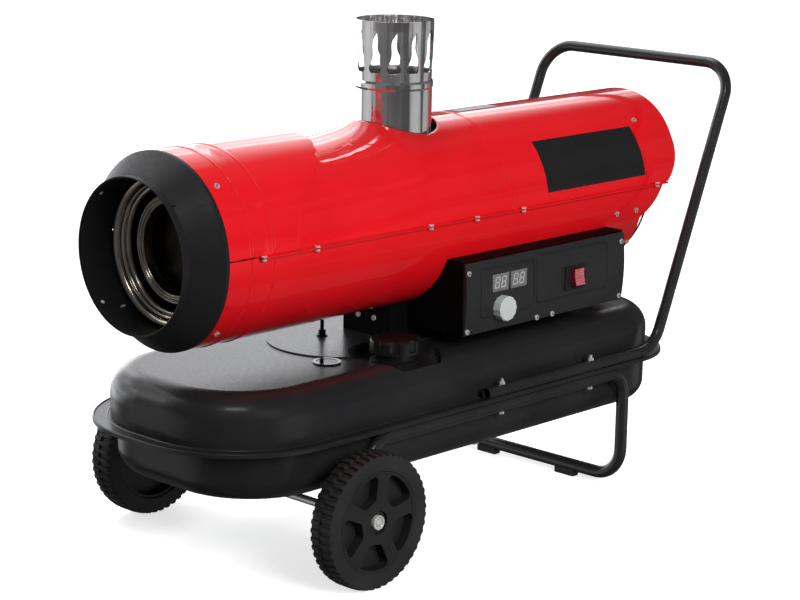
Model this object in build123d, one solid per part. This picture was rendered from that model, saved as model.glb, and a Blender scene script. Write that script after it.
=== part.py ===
from build123d import *
import math
import os

# Forced air heater on a wheeled fuel tank, in millimetres.
# X runs from the warm air outlet to the rear, -Y is the side with the controls, Z is up from the floor.

# ---- fits
GAP = 0.2            # clearance between parts that are fastened together
SOFT_GAP = 0.4       # clearance round curved parts and leads
RUN_FIT = 0.05       # radial clearance of a shaft or pin in its bearing

# ---- casing
CASING_R = 141.0
CASING_Z = 475.0
CASING_SHEET = 1.2
CASING_FRONT = -509.0
FRONT_SHELL_END = 57.0
SEAM_Z = 480.5
SEAM_FRONT = -455.0
SEAM_REAR = 457.0
FLANGE_WIDTH = 9.0
SLEEVE_RISE = 0.9
BEAD_RISE = 1.3
BEAD_WIDTH = 6.0
BEAD_PLACES = (42.0, 84.0)      # from the casing's front edge
HOOD_BEAD = 21.0                # from the hood's front edge
LAP = 18.0                      # overlap of front shell and hood
CREASE_APEX = -250.0
CREASE_DROPS = ((64.0, 20.0), (110.0, 82.0))   # half width and distance in front of the apex
CREASE_REACH = 129.0            # at the widest point
DENT_DEPTH = 12.0
HOOD_REAR = 517.0               # rear edge at the top
HOOD_SIDE = 468.0               # rear edge at the seam
HOOD_CORNER = 500.0             # rear edge above the rounded lower corner
HOOD_CORNER_RISE = 69.0
LOWER_REAR = 407.0
LOWER_SEAM_REAR = 455.0
LOWER_CORNER_DROP = 55.0
LOWER_FOOT_REAR = 426.0          # rear edge below the casing
SEAM_BOLT_PLACES = (-450.0, -348.0, -114.0, -12.0, 95.0, 431.0)
SEAM_BOLT_OUT = 5.6              # bolt line outside the casing

# ---- small screws
SCREW_HEAD_R = 4.4
SCREW_HEAD = 2.4
SCREW_R = 2.0
SCREW_LENGTH = 6.0
NUT_HEIGHT = 3.0

# ---- places of the casing's screws
OUTLET_SCREW_SET_IN = 16.0
OUTLET_SCREW_ANGLES = (133.3, 226.7)
GUARD_SCREW_SET_BACK = 10.0
GUARD_SCREW_ANGLE = 132.0
REAR_SCREWS = (18.0, 68.0)      # in front of the lower shell's rear edge
REAR_SCREW_ANGLE = 194.0
FOOT_SCREW_SET_BACK = 2.0
FOOT_SCREW_ANGLE = 222.0

# ---- outlet
LIP_R = 112.0
LIP_LENGTH = 10.6
OUTLET_LENGTH = 56.6
CONE_R = 142.5
CONE_ROLL = 6.0
SKIRT = 24.0
OUTLET_SHEET = 1.2
LINER_LENGTH = 57.0
RIVET_R = 2.6
RIVET_ANGLES = (46.0, 134.0, 226.0, 314.0)
RIVET_PLACE = 12.6              # from the lip

# ---- flue
FLUE_X = -44.8
FLUE_HOLE_R = 64.0
FLUE_HOLE_SHIFT = 4.0
FLUE_R = 58.3
FLUE_BOTTOM = 585.0
FLUE_SHEET = 0.8
FLUE_BEAD_R = 59.6
FLUE_BEAD_Z = 672.5
FLUE_BEAD_HALF = 6.5
COWL_R = 59.7
COWL_TOP = 769.4
COWL_INSERT = 16.0              # below the bead's lower edge
COWL_MOUTH_SHARE = 0.155        # straight top, as a share of the height above the bead
FLAME_COUNT = 12
FLAME_TURN = 13.6               # angle of the first hole
FLAME_BASE_SHARE = 0.144
FLAME_HEIGHT_SHARE = 0.683
FLAME_HALF = 10.6
FLAME_LEFT = ((-0.65, 0.0), (-1.0, 0.12), (-0.72, 0.25), (-0.45, 0.36), (-0.36, 0.55), (-0.40, 0.69),
              (-0.25, 0.83), (0.08, 0.92), (0.39, 1.0))
FLAME_RIGHT = ((0.39, 1.0), (0.46, 0.90), (0.52, 0.80), (0.67, 0.69), (0.86, 0.53), (0.80, 0.36),
               (0.85, 0.22), (0.96, 0.12), (0.60, 0.0))
SPIGOT_TOP = 640.0
STOP_HEIGHT = 4.0

# ---- heat exchanger
CHAMBER_R = 80.0
CHAMBER_SET_IN = 24.0           # from the casing's front edge
CHAMBER_REAR = 35.0
CHAMBER_RECESS_R = 66.0
CHAMBER_RECESS = 30.0
CHAMBER_SHEET = 1.5
JACKET_R = 105.0
JACKET_INNER_R = 88.0
JACKET_SET_IN = 2.0
JACKET_REAR = 25.0
JACKET_NOSE = 17.0
DUCT_R = 22.0
DUCT_SET_IN = 99.0
DUCT_ANGLES = (90.0, 210.0, 330.0)
DUCT_DEPTH = 20.0               # start of a duct inside the chamber's surface
LEG_WIDTH = 24.0
LEG_SHEET = 3.0
LEG_SET_IN = 69.0
LEG_REAR_X = -10.0
LEG_ANGLES = (215.0, 325.0)

# ---- burner
BURNER_R = 38.0
BURNER_FRONT = 15.0
BURNER_REAR = 95.0
BURNER_FLANGE_R = 60.0
BURNER_FLANGE = 2.0
BURNER_COVER = 2.0
BURNER_SLOTS = 6
BURNER_SLOT = (34.0, 12.0)      # length and width
DIFFUSER_X = 30.0
DIFFUSER = 1.5
DIFFUSER_SLOTS = 8
DIFFUSER_SLOT = (8.0, 14.0, 2.5)
DIFFUSER_SLOT_R = 25.0
NOZZLE_R = 9.0
NOZZLE_REAR = 110.0
NOZZLE_TIP = 6.0
NOZZLE_HEX_R = 8.1
UNION = 8.0                     # length of the union nuts
UNION_R = 6.0
ELECTRODE_R = 5.0
ELECTRODE_WIRE_R = 1.0
ELECTRODE_Y = 14.0
ELECTRODE_DROP = 14.0
PHOTOCELL_R = 8.0
PHOTOCELL_RISE = 24.0
PHOTOCELL_BODY = (12.0, 24.0)   # in front of and behind the burner's cover
PHOTOCELL_COLLAR = 3.0

# ---- motor, fan and pump
MOTOR_R = 50.0
MOTOR_FRONT = 190.0
MOTOR_REAR = 300.0
MOTOR_SHIELD = 16.0             # length of an end shield
MOTOR_TAPER = 14.0
MOTOR_SLOTS = 24
MOTOR_SLOT = (24.0, 3.0, 3.0)
SHAFT_R = 6.0
FAN_R = 127.0
FAN_HUB_R = 24.0
FAN_FRONT = 316.0
FAN_HUB_LENGTH = 34.0
FAN_BLADES = 5
FAN_CHORD = 62.0
FAN_PITCH = 32.0
FAN_SHEET = 2.0
PUMP_SIZE = 46.0
PUMP_LENGTH = 32.0
PUMP_CORNER = 6.0
PUMP_FRONT_WALL = 4.0
PORT_R = 6.5
PORT_OUT = 8.0
PORT_IN = 6.0
DELIVERY_R = 2.5
CLAMP_X = 245.0
CLAMP_WIDTH = 22.0
CLAMP_SHEET = 3.0
CLAMP_ANGLES = (90.0, 210.0, 330.0)
CLAMP_ARM = 16.0
GUARD_X = 419.0
GUARD_WIRE_R = 1.5
GUARD_RINGS = 9
GUARD_INNER_R = 22.0
GUARD_SPOKES = 6
GUARD_OVERHANG = 0.5

# ---- tank
RIM_Z = 210.0
RIM_HALF = 2.5
TANK_HALF_WIDTH = 204.6
TANK_FRONT = -561.7
TANK_REAR = 471.7
TANK_FRONT_R = 175.7
TANK_REAR_R = 133.8
TANK_SHEET = 1.5
TANK_TOP = 287.0
TANK_TOP_ROUND = 40.0
TANK_TOP_INSET = 26.0
TANK_BOTTOM = 130.0
TANK_BOTTOM_ROUND = 32.0
TANK_BOTTOM_INSET = 24.0
TANK_BOTTOM_FRONT_INSET = 46.0
TANK_BOTTOM_REAR_INSET = 33.0
PLATEAU_RISE = 2.0
PLATEAU_R = 112.0
PLATEAU_X = -150.0
PLATEAU_Y = 4.0                 # offset away from the filler
PLATEAU_HALF = 85.0
PLATEAU_REAR = 380.0

# ---- filler, gauge and drain
CAP_X = -147.0
CAP_Y = -108.0
CAP_R = 38.0
CAP_HEIGHT = 22.0
CAP_BOTTOM = 290.0
CAP_LOBES = 8
CAP_GROOVE_R = 11.0
CAP_GROOVE_OUT = 7.0            # grooves' middles outside the cap's radius
CAP_SKIRT = 4.0
SCALLOP_R = 70.0
SCALLOP_Z = 276.0
NECK_R = 31.0
NECK_WALL = 3.0
NECK_TOP = 298.0
GASKET = 2.5
GAUGE_X = -260.0
GAUGE_Y = -79.0
GAUGE_R = 21.0
GAUGE_BODY_R = 17.0
GAUGE_RIM = 2.0
GAUGE_DEPTH = 18.0
LENS = 1.5
LENS_DROP = 0.6                 # of the lens below the gauge's rim
NEEDLE_LENGTH = 24.0
FLOAT_PIVOT_Z = 210.0
FLOAT_ARM = 90.0
FLOAT_R = 14.0
FLOAT_LENGTH = 36.0
FLOAT_REST_ANGLE = 36.0
FLOAT_PIN_R = 2.0
FLOAT_PIN_HALF = 8.0
FLOAT_WIRE_R = 1.5
DRAIN_X = 10.0
DRAIN_Y = -130.0
DRAIN_R = 9.0
DRAIN_HEAD = 10.0

# ---- fuel pipes
PIPE_R = 3.0
PICKUP_X = -156.0
PICKUP_Y = 37.0
RUN_Z = 358.0
FILTER_X = 62.0
FILTER_R = 13.0
FILTER_LENGTH = 48.0
PIPE_BEND = 12.0
PORT_BEND = 5.0
STRAINER_R = 8.0
STRAINER_LENGTH = 26.0
STRAINER_RISE = 8.0             # above the tank's bottom
PICKUP_RISE = 6.0               # of the pipe's end inside the strainer
FITTING_R = 8.5
FITTING = 2.0
FITTING_HEX_R = 6.0

# ---- pedestal
PEDESTAL_FRONT = -97.0
PEDESTAL_REAR = 320.0
PEDESTAL_HALF = 50.0
PEDESTAL_SHEET = 1.5
PEDESTAL_BOLT_Y = 16.5
PEDESTAL_BOLT_Z = 317.0

# ---- control box
BOX_Y = -163.0
BOX_BOTTOM = 307.0
BOX_TOP = 421.0
BOX_FRONT = -59.0
BOX_REAR = 322.0
BOX_SHEET = 1.5
BOX_BEVEL = 2.0
PANEL = 3.0
PANEL_BOW = 4.5
PANEL_RIM = 0.8                 # the panel stands in from the box edge
BOX_GRIP = 0.5                  # of a frame or screw head off the bowed panel
DISPLAY_X = (20.2, 62.0)
DISPLAY_Z = 380.5
DISPLAY_WIDTH = 38.0
DISPLAY_HEIGHT = 27.0
DISPLAY_DEPTH = 14.0
KNOB_X = 21.5
KNOB_Z = 341.5
KNOB_R = 19.5
KNOB_SIDES = 12
KNOB_DEPTH = 15.0
KNOB_SHAFT_R = 3.0
POT_R = 9.0
POT_DEPTH = 12.0
ROCKER_X = 195.0
ROCKER_Z = 363.0
ROCKER_WIDTH = 22.0
ROCKER_HALF = 13.5
ROCKER_STEM_R = 9.0
ROCKER_STEM_HALF = 6.5
ROCKER_TILT = 8.0
ROCKER_REACH = 14.5             # from the pivot to the middle of the rocker's front
ROCKER_PIVOT = 4.0              # pivot behind the panel's surface
ROCKER_PIN_R = 1.5
ROCKER_PIN = 1.5
MOUTH_HALF = 14.9
BEZEL_WIDTH = 48.0
BEZEL_HEIGHT = 38.0
BEZEL = 2.2
SWITCH_WALL = 1.6
SWITCH_DEPTH = 16.0
PANEL_SCREWS = ((-53.0, 404.0), (-53.0, 314.0), (312.0, 404.0), (312.0, 315.0), (109.0, 311.0),
                (146.0, 311.0))
BOARD_STANDOFF = 14.0
BOARD_FRONT = 82.0
BOARD_REAR = 176.0
BOARD_LOW = 320.0
BOARD_HIGH = 405.0
BOARD = 1.6
BOARD_POST_R = 3.0
BOARD_POST_IN = 6.0
RELAY = (26.0, 16.4, 20.0)
RELAY_PLACE = (14.0, 12.0)      # from the board's front and low edges
CAPACITOR_R = 9.0
CAPACITOR_LENGTH = 25.0
CAPACITOR_PLACE = (26.0, 40.0)  # from the board's rear and low edges
TRANSFORMER = (78.0, 60.0, 34.0)
TRANSFORMER_X = 80.0
LEAD_R = 3.5
LEAD_RISE_X = 137.0
LEAD_BEND = 11.0
GLAND_R = 9.0
GLAND_Y = -110.0
GLAND_Z = 330.0

# ---- tubes
TUBE_Y = 197.0
TUBE_WALL = 1.5
HANDLE_R = 9.0
HANDLE_FRONT = -39.0
HANDLE_FOOT = 373.0
HANDLE_BAR_X = 557.0
HANDLE_BAR_Z = 671.0
HANDLE_BEND = 55.0
FRAME_R = 10.0
AXLE_X = -331.0
FRAME_FRONT = -273.0
FRAME_BEND = 45.0
LEG_X = 296.0
LEG_BEND = 38.0
CROSS_BEND = 50.0
CROSS_Z = 18.0
TUBE_BOLT_PLACES = (-3.0, 210.0)
TUBE_BOLT_R = 2.5
TUBE_BOLT_HEAD_R = 4.8
TUBE_BOLT_HEAD = 3.5
TUBE_NUT = 4.0
TUBE_BOLT_END = 4.5             # thread above the nut
PAD_Y = 86.0
PAD_WIDTH = 38.0
PAD_LENGTH = 16.0
PAD_TOP = 15.0

# ---- wheels
WHEEL_R = 100.0
WHEEL_OUT = 259.2
WHEEL_WIDTH = 40.0
AXLE_R = 6.0
TREAD_DROP = 1.6                # of the tread's edges below its middle
HUB_R = 24.0
HUB_RECESS_R = 17.5
HUB_RECESS = 6.0
RIM_R = 74.0
RIM_WALL = 4.0
RIM_STEP = 1.0
WEB = 19.0
WEB_SET_IN = 1.5                # of the web behind the wheel's outer face
WINDOW_IN = 34.0
WINDOW_OUT = 69.5
WINDOW_IN_HALF = 19.0           # half angles of a window
WINDOW_OUT_HALF = 27.0
WINDOW_DEPTH = 16.0
WINDOW_CORNER = 7.0
WINDOW_TURN = 46.0              # angle of the first window
WINDOWS = 5
CAP_PIN_R = 10.7
CAP_PIN = 5.0
CAP_PIN_WALL = 1.3

# ---- derived
WHEEL_IN = WHEEL_OUT - WHEEL_WIDTH
CASING_IN = CASING_R - CASING_SHEET
SEAM_BOLT_Y = CASING_R + SEAM_BOLT_OUT
LIP_X = CASING_FRONT - OUTLET_LENGTH
CHAMBER_FRONT = CASING_FRONT + CHAMBER_SET_IN
JACKET_FRONT = CASING_FRONT + JACKET_SET_IN
DUCT_X = CASING_FRONT + DUCT_SET_IN
LEG_PLACES = (CASING_FRONT + LEG_SET_IN, LEG_REAR_X)
FLUE_TOP = FLUE_BEAD_Z + FLUE_BEAD_HALF
COWL_RISE = COWL_TOP - FLUE_TOP
HANDLE_Z = RIM_Z + RIM_HALF + HANDLE_R
FRAME_Z = RIM_Z - RIM_HALF - FRAME_R
PLATEAU_Z = TANK_TOP + PLATEAU_RISE
PANEL_Y = BOX_Y - PANEL
PANEL_MID_Z = (BOX_BOTTOM + BOX_TOP) / 2


# ---- helpers
def face_of(points):
    """Flat face in the XY plane through the points."""
    return make_face(Polyline(*points, close=True))


def turned_x(points):
    """Solid turned about the casing's axis, from (x, radius) points."""
    return Pos(0, 0, CASING_Z) * revolve(face_of(points), Axis.X, 360)


def ring_x(outer, inner, start, end):
    """Tube along the casing's axis."""
    return turned_x([(start, inner), (end, inner), (end, outer), (start, outer)])


def disc_x(radius, start, end):
    """Solid round bar along the casing's axis."""
    return rod((start, 0, CASING_Z), (end, 0, CASING_Z), radius)


def turned_z(points, x, y):
    """Solid turned about a vertical line through (x, y), from (radius, z) points."""
    outline = Plane.XZ * face_of(points)
    return Pos(x, y, 0) * revolve(outline, Axis.Z, 360)


def rod(start, end, radius):
    """Round bar from start to end."""
    along = Vector(*end) - Vector(*start)
    return extrude(Plane(origin=start, z_dir=along) * Circle(radius), along.length)


def bent(points, bends, radius, wall=0.0):
    """Round bar, or tube where a wall is given, along points with filleted corners."""
    path = FilletPolyline(*points, radius=bends)
    section = Circle(radius)
    if wall:
        section = section - Circle(radius - wall)
    return sweep(Plane(origin=path @ 0, z_dir=path % 0) * section, path=path)


def block(x0, x1, y0, y1, z0, z1):
    """Box between two corners."""
    return Pos((x0 + x1) / 2, (y0 + y1) / 2, (z0 + z1) / 2) * Box(x1 - x0, y1 - y0, z1 - z0)


def radial(x, angle, radius):
    """Place on the casing's round surface: local Z points outwards, angle 90 is the top, 0 is +Y."""
    turn = math.radians(angle)
    outwards = (0, math.cos(turn), math.sin(turn))
    origin = (x, radius * outwards[1], CASING_Z + radius * outwards[2])
    return Plane(origin=origin, x_dir=(1, 0, 0), z_dir=outwards)


def hex_bar(place, radius, height):
    """Six-sided bar standing on a plane."""
    return extrude(place * RegularPolygon(radius, 6), height)


def write(name, shape):
    """Write one sub-part, as one solid or as a group of solids."""
    solids = shape.solids()
    export_step(solids[0] if len(solids) == 1 else Compound(solids), f"parts/{name}.step")


# ---- casing
def casing_skin(outer_gap, front, rear):
    """Solid inside of the casing at a distance below its surface, with its sleeve and beads."""
    radius = CASING_R - outer_gap
    skin = disc_x(radius, front, rear)
    skin += disc_x(radius + SLEEVE_RISE, front, CREASE_APEX + 1) & sleeve_plan(outer_gap)
    for place in BEAD_PLACES:
        middle = CASING_FRONT + place
        skin += turned_x([(middle - BEAD_WIDTH / 2, 0), (middle + BEAD_WIDTH / 2, 0),
                          (middle + BEAD_WIDTH / 2, radius), (middle, radius + SLEEVE_RISE + BEAD_RISE),
                          (middle - BEAD_WIDTH / 2, radius)])
    return skin


def crease_line(shift):
    """Crease in plan, as points from one side of the casing to the other."""
    wide = CASING_R + FLANGE_WIDTH
    side = [(CREASE_APEX - CREASE_REACH + shift, wide)]
    for half, drop in reversed(CREASE_DROPS):
        side.append((CREASE_APEX - drop + shift, half))
    apex = [(CREASE_APEX + shift, 0)]
    other = [(x, -y) for x, y in reversed(side)]
    return side + apex + other


def sleeve_plan(shift):
    """Space in front of the crease."""
    line = crease_line(shift)
    wide = line[0][1]
    edge = Spline(*line)
    sides = Polyline(line[-1], (CASING_FRONT - 1, -wide), (CASING_FRONT - 1, wide), line[0])
    return extrude(make_face([edge, sides]), 2 * CASING_Z)


def dent(shift):
    """Space between the dented top and the round casing, from the crease to the flue."""
    line = crease_line(-shift)
    wide = line[0][1]
    edge = Spline(*line)
    flue_front = FLUE_X - FLUE_R
    sides = Polyline(line[-1], (flue_front, -wide), (flue_front, wide), line[0])
    region = Pos(0, 0, CASING_Z) * extrude(make_face([edge, sides]), CASING_R + FLANGE_WIDTH)
    radius = CASING_R - shift
    slope = DENT_DEPTH / (flue_front - CREASE_APEX)
    reach = CREASE_REACH * 2
    low = (flue_front - reach * 2, 0, CASING_Z - slope * reach * 2)
    high = (flue_front + reach, 0, CASING_Z + slope * reach)
    return region - rod(low, high, radius)


def seam_flange(front, rear, low, high):
    """Two flat strips along the seam, one on each side."""
    strips = block(front, rear, -CASING_R - FLANGE_WIDTH, CASING_R + FLANGE_WIDTH, low, high)
    return strips - disc_x(CASING_R - CASING_SHEET / 2, front - 1, rear + 1)


def above_seam(front, rear):
    """Space above the seam."""
    wide = CASING_R + 2 * FLANGE_WIDTH
    return block(front - 1, rear + 1, -wide, wide, SEAM_Z, CASING_Z + wide)


def screw_places():
    """Radial casing screws as (x, angle) on the control side; each has a mirror image."""
    front = CASING_FRONT + OUTLET_SCREW_SET_IN
    guard = GUARD_X + GUARD_SCREW_SET_BACK
    first = LOWER_REAR - REAR_SCREWS[0]
    second = LOWER_REAR - REAR_SCREWS[1]
    foot = LOWER_REAR + FOOT_SCREW_SET_BACK
    return ((front, OUTLET_SCREW_ANGLES[0]), (front, OUTLET_SCREW_ANGLES[1]), (guard, GUARD_SCREW_ANGLE),
            (first, REAR_SCREW_ANGLE), (second, REAR_SCREW_ANGLE), (foot, FOOT_SCREW_ANGLE))


def all_screw_places():
    """Every radial casing screw."""
    near = list(screw_places())
    return near + [(x, 180.0 - angle) for x, angle in near]


def screw_radius(x):
    """Radius of the casing's surface under a screw head."""
    return CASING_R + (SLEEVE_RISE if x < CREASE_APEX else 0.0)


def screw_shanks(clearance):
    """Shanks of the radial casing screws."""
    shanks = []
    for x, angle in all_screw_places():
        outside = screw_radius(x)
        seat = radial(x, angle, outside - SCREW_LENGTH)
        shanks.append(extrude(seat * Circle(SCREW_R + clearance), SCREW_LENGTH))
    return shanks


def seam_shanks(clearance):
    """Shanks of the seam bolts."""
    shanks = []
    low = SEAM_Z - CASING_SHEET - NUT_HEIGHT
    high = SEAM_Z + CASING_SHEET
    for x in SEAM_BOLT_PLACES:
        for side in (-1, 1):
            y = side * SEAM_BOLT_Y
            shanks.append(rod((x, y, low), (x, y, high), SCREW_R + clearance))
    return shanks


def front_shell():
    """Upper casing from the outlet to the hood, with the flue hole."""
    outside = casing_skin(0, CASING_FRONT, FRONT_SHELL_END) - dent(0)
    inside = casing_skin(CASING_SHEET, CASING_FRONT - 1, FRONT_SHELL_END + 1) - dent(CASING_SHEET)
    shell = outside - inside
    tongue = ring_x(CASING_IN, CASING_IN - CASING_SHEET, FRONT_SHELL_END - LAP, FRONT_SHELL_END + LAP)
    shell = (shell + tongue) & above_seam(CASING_FRONT, FRONT_SHELL_END + LAP)
    shell += seam_flange(SEAM_FRONT, FRONT_SHELL_END, SEAM_Z, SEAM_Z + CASING_SHEET)
    hole = rod((FLUE_X + FLUE_HOLE_SHIFT, 0, CASING_Z), (FLUE_X + FLUE_HOLE_SHIFT, 0, COWL_TOP), FLUE_HOLE_R)
    shell -= hole
    return shell - screw_shanks(GAP) - seam_shanks(GAP)


def hood_side():
    """Side view of the hood's rear edge, as a space in front of it."""
    top = CASING_Z + CASING_R + FLANGE_WIDTH
    corner_top = SEAM_Z + HOOD_CORNER_RISE
    middle = ((HOOD_SIDE + HOOD_CORNER) / 2 + 6, SEAM_Z + HOOD_CORNER_RISE * 0.42)
    corner = Spline((HOOD_SIDE, SEAM_Z), middle, (HOOD_CORNER, corner_top))
    edge = Line((HOOD_CORNER, corner_top), (HOOD_REAR, top))
    front = FRONT_SHELL_END - 1
    rest = Polyline((HOOD_REAR, top), (front, top), (front, SEAM_Z), (HOOD_SIDE, SEAM_Z))
    side = Plane.XZ * make_face([corner, edge, rest])
    return extrude(side, CASING_R + FLANGE_WIDTH, both=True)


def rear_hood():
    """Upper casing over the motor, open at the rear."""
    skin = ring_x(CASING_R, CASING_IN, FRONT_SHELL_END + GAP, HOOD_REAR)
    middle = FRONT_SHELL_END + HOOD_BEAD
    bead = turned_x([(middle - BEAD_WIDTH / 2, CASING_IN), (middle + BEAD_WIDTH / 2, CASING_IN),
                     (middle + BEAD_WIDTH / 2, CASING_R), (middle, CASING_R + BEAD_RISE),
                     (middle - BEAD_WIDTH / 2, CASING_R)])
    hood = (skin + bead) & above_seam(FRONT_SHELL_END, HOOD_REAR)
    hood = hood & hood_side()
    hood += seam_flange(FRONT_SHELL_END + GAP, SEAM_REAR, SEAM_Z, SEAM_Z + CASING_SHEET)
    return hood - screw_shanks(GAP) - seam_shanks(GAP)


def lower_side():
    """Side view of the lower shell's rear edge, as a space in front of it."""
    low = CASING_Z - CASING_R - FLANGE_WIDTH
    bend = (LOWER_REAR, SEAM_Z - LOWER_CORNER_DROP)
    middle = ((LOWER_SEAM_REAR + LOWER_REAR) / 2 + 3, SEAM_Z - LOWER_CORNER_DROP * 0.6)
    corner = Spline((LOWER_SEAM_REAR, SEAM_Z), middle, bend)
    rest = Polyline(bend, (LOWER_FOOT_REAR, low), (CASING_FRONT - 1, low), (CASING_FRONT - 1, SEAM_Z),
                    (LOWER_SEAM_REAR, SEAM_Z))
    side = Plane.XZ * make_face([corner, rest])
    return extrude(side, CASING_R + FLANGE_WIDTH, both=True)


def lower_shell():
    """Lower casing, from the outlet to the motor."""
    outside = casing_skin(0, CASING_FRONT, LOWER_SEAM_REAR) & lower_side()
    shell = outside - casing_skin(CASING_SHEET, CASING_FRONT - 1, LOWER_SEAM_REAR + 1)
    shell += seam_flange(SEAM_FRONT, SEAM_REAR, SEAM_Z - CASING_SHEET, SEAM_Z)
    shell -= rod((PICKUP_X, PICKUP_Y, TANK_TOP), (PICKUP_X, PICKUP_Y, CASING_Z), PIPE_R + SOFT_GAP)
    for side in (-1, 1):
        y = side * ELECTRODE_Y
        shell -= rod((LEAD_RISE_X, y, TANK_TOP), (LEAD_RISE_X, y, CASING_Z), LEAD_R + SOFT_GAP)
    return shell - screw_shanks(GAP) - seam_shanks(GAP)


def seam_bolts():
    """Bolts with nuts along the casing's seam."""
    bolts = []
    shanks = seam_shanks(0)
    places = [(x, side) for x in SEAM_BOLT_PLACES for side in (-1, 1)]
    for (x, side), shank in zip(places, shanks):
        y = side * SEAM_BOLT_Y
        top = SEAM_Z + CASING_SHEET
        head = rod((x, y, top), (x, y, top + SCREW_HEAD), SCREW_HEAD_R)
        head = fillet(head.edges().group_by(Axis.Z)[-1], SCREW_HEAD * 0.6)
        under = Plane(origin=(x, y, SEAM_Z - CASING_SHEET - NUT_HEIGHT))
        nut = hex_bar(under, SCREW_R * 1.9, NUT_HEIGHT)
        bolts += (shank + head + nut).solids()
    return Compound(bolts)


def casing_screws():
    """Radial casing screws and the two screws at the front of the pedestal."""
    screws = []
    for (x, angle), shank in zip(all_screw_places(), screw_shanks(0)):
        seat = radial(x, angle, screw_radius(x))
        screws += (shank + hex_bar(seat, SCREW_HEAD_R, SCREW_HEAD)).solids()
    for side in (-1, 1):
        start = (PEDESTAL_FRONT, side * PEDESTAL_BOLT_Y, PEDESTAL_BOLT_Z)
        seat = Plane(origin=start, z_dir=(-1, 0, 0))
        inside = (PEDESTAL_FRONT + SCREW_LENGTH, side * PEDESTAL_BOLT_Y, PEDESTAL_BOLT_Z)
        screws += (hex_bar(seat, SCREW_HEAD_R, SCREW_HEAD) + rod(start, inside, SCREW_R)).solids()
    return Compound(screws)


# ---- outlet
def outlet_cone():
    """Outlet ring that narrows from the casing to the lip."""
    t = OUTLET_SHEET
    cone_end = CASING_FRONT - CONE_ROLL
    skirt_r = CASING_IN - GAP
    lip_end = LIP_X + LIP_LENGTH
    cone = turned_x([(LIP_X, LIP_R - t), (LIP_X, LIP_R), (lip_end, LIP_R), (cone_end, CONE_R),
                     (CASING_FRONT, CONE_R), (CASING_FRONT, skirt_r), (CASING_FRONT + SKIRT, skirt_r),
                     (CASING_FRONT + SKIRT, skirt_r - t), (cone_end, skirt_r - t),
                     (lip_end + t, LIP_R - t)])
    return cone - screw_shanks(GAP) - rivet_shanks(GAP)


def rivet_shanks(clearance):
    """Shanks of the rivets that hold the liner in the lip."""
    shanks = []
    x = LIP_X + RIVET_PLACE
    for angle in RIVET_ANGLES:
        seat = radial(x, angle, LIP_R - OUTLET_SHEET - GAP - OUTLET_SHEET)
        shanks.append(extrude(seat * Circle(RIVET_R * 0.7 + clearance), OUTLET_SHEET * 4))
    return shanks


def outlet_liner():
    """Inner ring of the outlet, riveted into the lip, with its rivets."""
    outer = LIP_R - OUTLET_SHEET - GAP
    start = LIP_X + 2.0
    liner = ring_x(outer, outer - OUTLET_SHEET, start, start + LINER_LENGTH)
    x = LIP_X + RIVET_PLACE
    for angle in RIVET_ANGLES:
        inside = radial(x, angle, outer - OUTLET_SHEET - 1.5)
        liner += extrude(inside * Circle(RIVET_R), 1.5 + OUTLET_SHEET / 2)
    for shank in rivet_shanks(0):
        liner += shank
    return liner


# ---- flue
def flue_pipe():
    """Stainless pipe through the flue hole, with a bead at its top."""
    t = FLUE_SHEET
    low = FLUE_BEAD_Z - FLUE_BEAD_HALF
    step = FLUE_BEAD_HALF / 2
    outside = [(FLUE_R, FLUE_BOTTOM), (FLUE_R, low), (FLUE_BEAD_R, low + step),
               (FLUE_BEAD_R, FLUE_TOP - step), (FLUE_R + GAP, FLUE_TOP)]
    inside = [(radius - t, z) for radius, z in reversed(outside)]
    return turned_z(outside + inside, FLUE_X, 0)


def flame():
    """One flame-shaped hole, standing on its base at the origin."""
    tall = FLAME_HEIGHT_SHARE * COWL_RISE
    left = Spline(*[(x * FLAME_HALF, z * tall) for x, z in FLAME_LEFT])
    right = Spline(*[(x * FLAME_HALF, z * tall) for x, z in FLAME_RIGHT])
    return make_face([left, right, Line(right @ 1, left @ 0)])


def flue_cowl():
    """Slightly flared cowl in the top of the pipe, with flame-shaped holes."""
    t = FLUE_SHEET
    neck = FLUE_R - t - GAP
    low = FLUE_BEAD_Z - FLUE_BEAD_HALF - COWL_INSERT
    mouth = COWL_TOP - COWL_MOUTH_SHARE * COWL_RISE
    cowl = turned_z([(neck - t, low), (neck, low), (neck, FLUE_TOP), (COWL_R, mouth), (COWL_R, COWL_TOP),
                     (COWL_R - t, COWL_TOP), (COWL_R - t, mouth), (neck - t, FLUE_TOP)], FLUE_X, 0)
    base = FLUE_TOP + FLAME_BASE_SHARE * COWL_RISE
    outline = Plane(origin=(0, 0, base), x_dir=(0, 1, 0), z_dir=(1, 0, 0)) * flame()
    cutter = extrude(outline, COWL_R + 5 * t)
    for number in range(FLAME_COUNT):
        turn = FLAME_TURN + number * 360.0 / FLAME_COUNT
        cowl -= Pos(FLUE_X, 0, 0) * Rot(0, 0, turn) * cutter
    return cowl


def flue_spigot():
    """Collar on the jacket that carries the flue pipe."""
    outer = FLUE_R - FLUE_SHEET - GAP
    t = CHAMBER_SHEET
    stop = FLUE_BOTTOM - STOP_HEIGHT
    collar = turned_z([(outer - t, CASING_Z), (outer, CASING_Z), (outer, stop), (FLUE_R, stop),
                       (FLUE_R, FLUE_BOTTOM), (outer, FLUE_BOTTOM), (outer, SPIGOT_TOP),
                       (outer - t, SPIGOT_TOP)], FLUE_X, 0)
    return collar - disc_x(JACKET_R + RUN_FIT, JACKET_FRONT, JACKET_REAR)


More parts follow.
